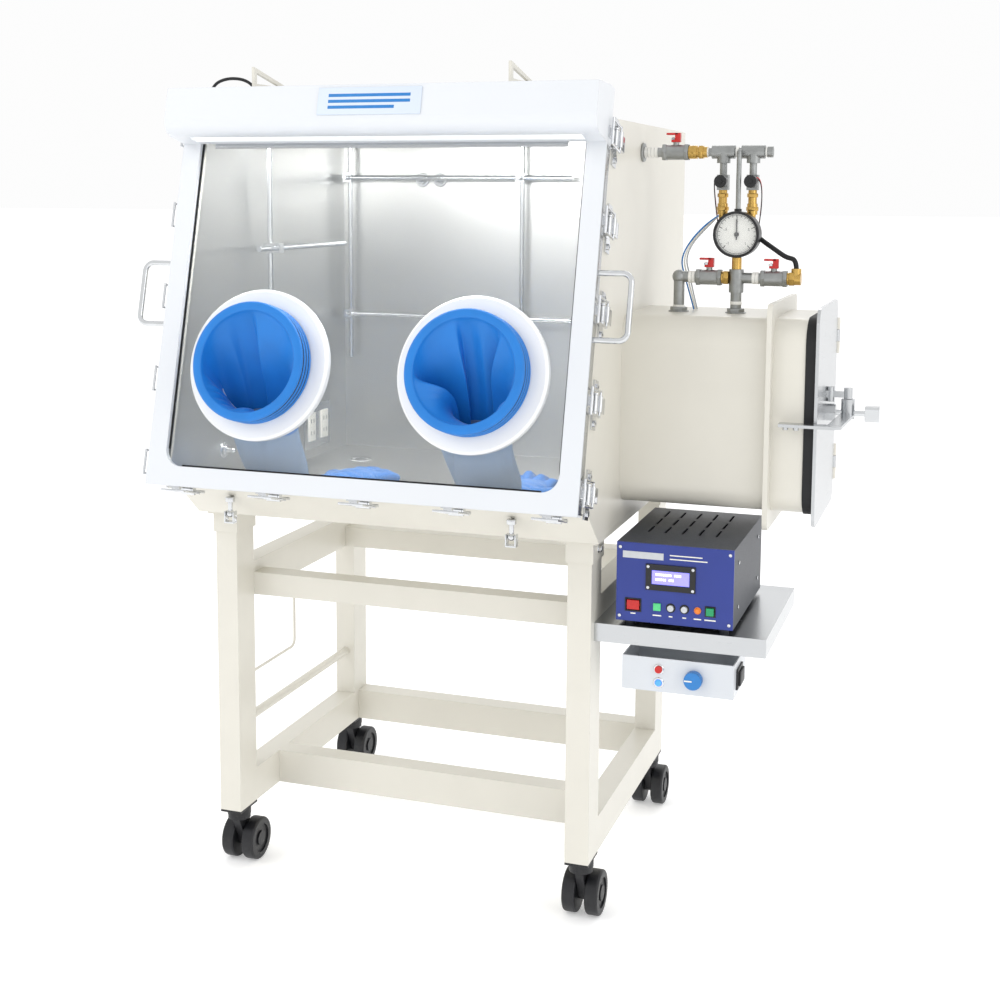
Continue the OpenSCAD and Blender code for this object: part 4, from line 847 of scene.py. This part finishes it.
# Ball studs with clevises under the chamber's front corners
for i, x in enumerate((-264, 229)):
    bm = bmesh.new()
    drum(bm, (x, -352, 668), (x, -352, 690), 4, sides=24)
    drum(bm, (x, -352, 684), (x, -352, 692), 8, sides=6)
    bmesh.ops.create_uvsphere(bm, u_segments=24, v_segments=14, radius=6.5, matrix=Matrix.Translation((x, -352, 664)))
    block(bm, (x - 9, -358, 650), (x - 6.5, -346, 668))
    block(bm, (x + 6.5, -358, 650), (x + 9, -346, 668))
    block(bm, (x - 9, -358, 648), (x + 9, -346, 651))
    piece(f"ball_stud_{i}", bm, polished_bar, STAND, "stainless", edge=0.4)

# ------------------------------------------------------------ floor and light

bm = bmesh.new()
bmesh.ops.create_grid(bm, x_segments=1, y_segments=1, size=90000)
floor_paper = finish("studio paper", "#F4F4F4", (0.8, 0.9), 8.0, 0.01, shade=0.0, Emission_Strength=0.3)
floor_paper.node_tree.nodes["Principled BSDF"].inputs["Emission Color"].default_value = (1, 1, 1, 1)
bmesh.ops.scale(bm, vec=(0.001,) * 3, verts=bm.verts)
mesh = bpy.data.meshes.new("studio_floor")
bm.to_mesh(mesh)
bm.free()
mesh.materials.append(floor_paper)
floor = bpy.data.objects.new("studio_floor", mesh)
bpy.context.scene.collection.objects.link(floor)


def softbox(name, spot, target, size, power):
    light = bpy.data.lights.new(name, "AREA")
    light.shape = "RECTANGLE"
    light.size, light.size_y = size
    light.energy = power
    lamp = bpy.data.objects.new(name, light)
    lamp.location = spot
    lamp.rotation_euler = (Vector(target) - Vector(spot)).to_track_quat("-Z", "Y").to_euler()
    bpy.context.scene.collection.objects.link(lamp)
    return lamp


key = softbox("key", (-2.2, -2.6, 3.0), (0, 0, 0.8), (2.0, 2.0), 30)
key.visible_glossy = False
softbox("fill", (3.4, -1.6, 1.9), (0.2, 0, 0.8), (1.6, 2.2), 16)
softbox("back", (0.5, 2.8, 2.8), (0, 0, 0.9), (2.4, 1.6), 20)
softbox("work_light", (0, -0.24, 1.285), (0, 0.05, 0.7), (0.6, 0.06), 4.5)

# Studio sky: bright overhead and at the horizon, darker between, so bare metal has something to mirror
world = bpy.data.worlds.new("studio")
bpy.context.scene.world = world
world.use_nodes = True
tree = world.node_tree
sky = tree.nodes["Background"]
ray = add(tree, "ShaderNodeTexCoord").outputs["Generated"]
height = add(tree, "ShaderNodeSeparateXYZ", {0: ray}).outputs[2]
ramp = add(tree, "ShaderNodeValToRGB", {0: height}).color_ramp
for at, value in ((0.0, 1.0), (0.2, 0.98), (0.34, 0.62), (0.72, 0.66), (0.9, 1.0)):
    stop = ramp.elements[0] if at == 0 else ramp.elements[1] if at == 0.9 else ramp.elements.new(at)
    stop.position = at
    stop.color = (value, value, value, 1)
tree.links.new(sky.inputs[0], tree.nodes["Color Ramp"].outputs[0])
sky.inputs[1].default_value = 0.98
bpy.context.scene.view_settings.view_transform = "Standard"
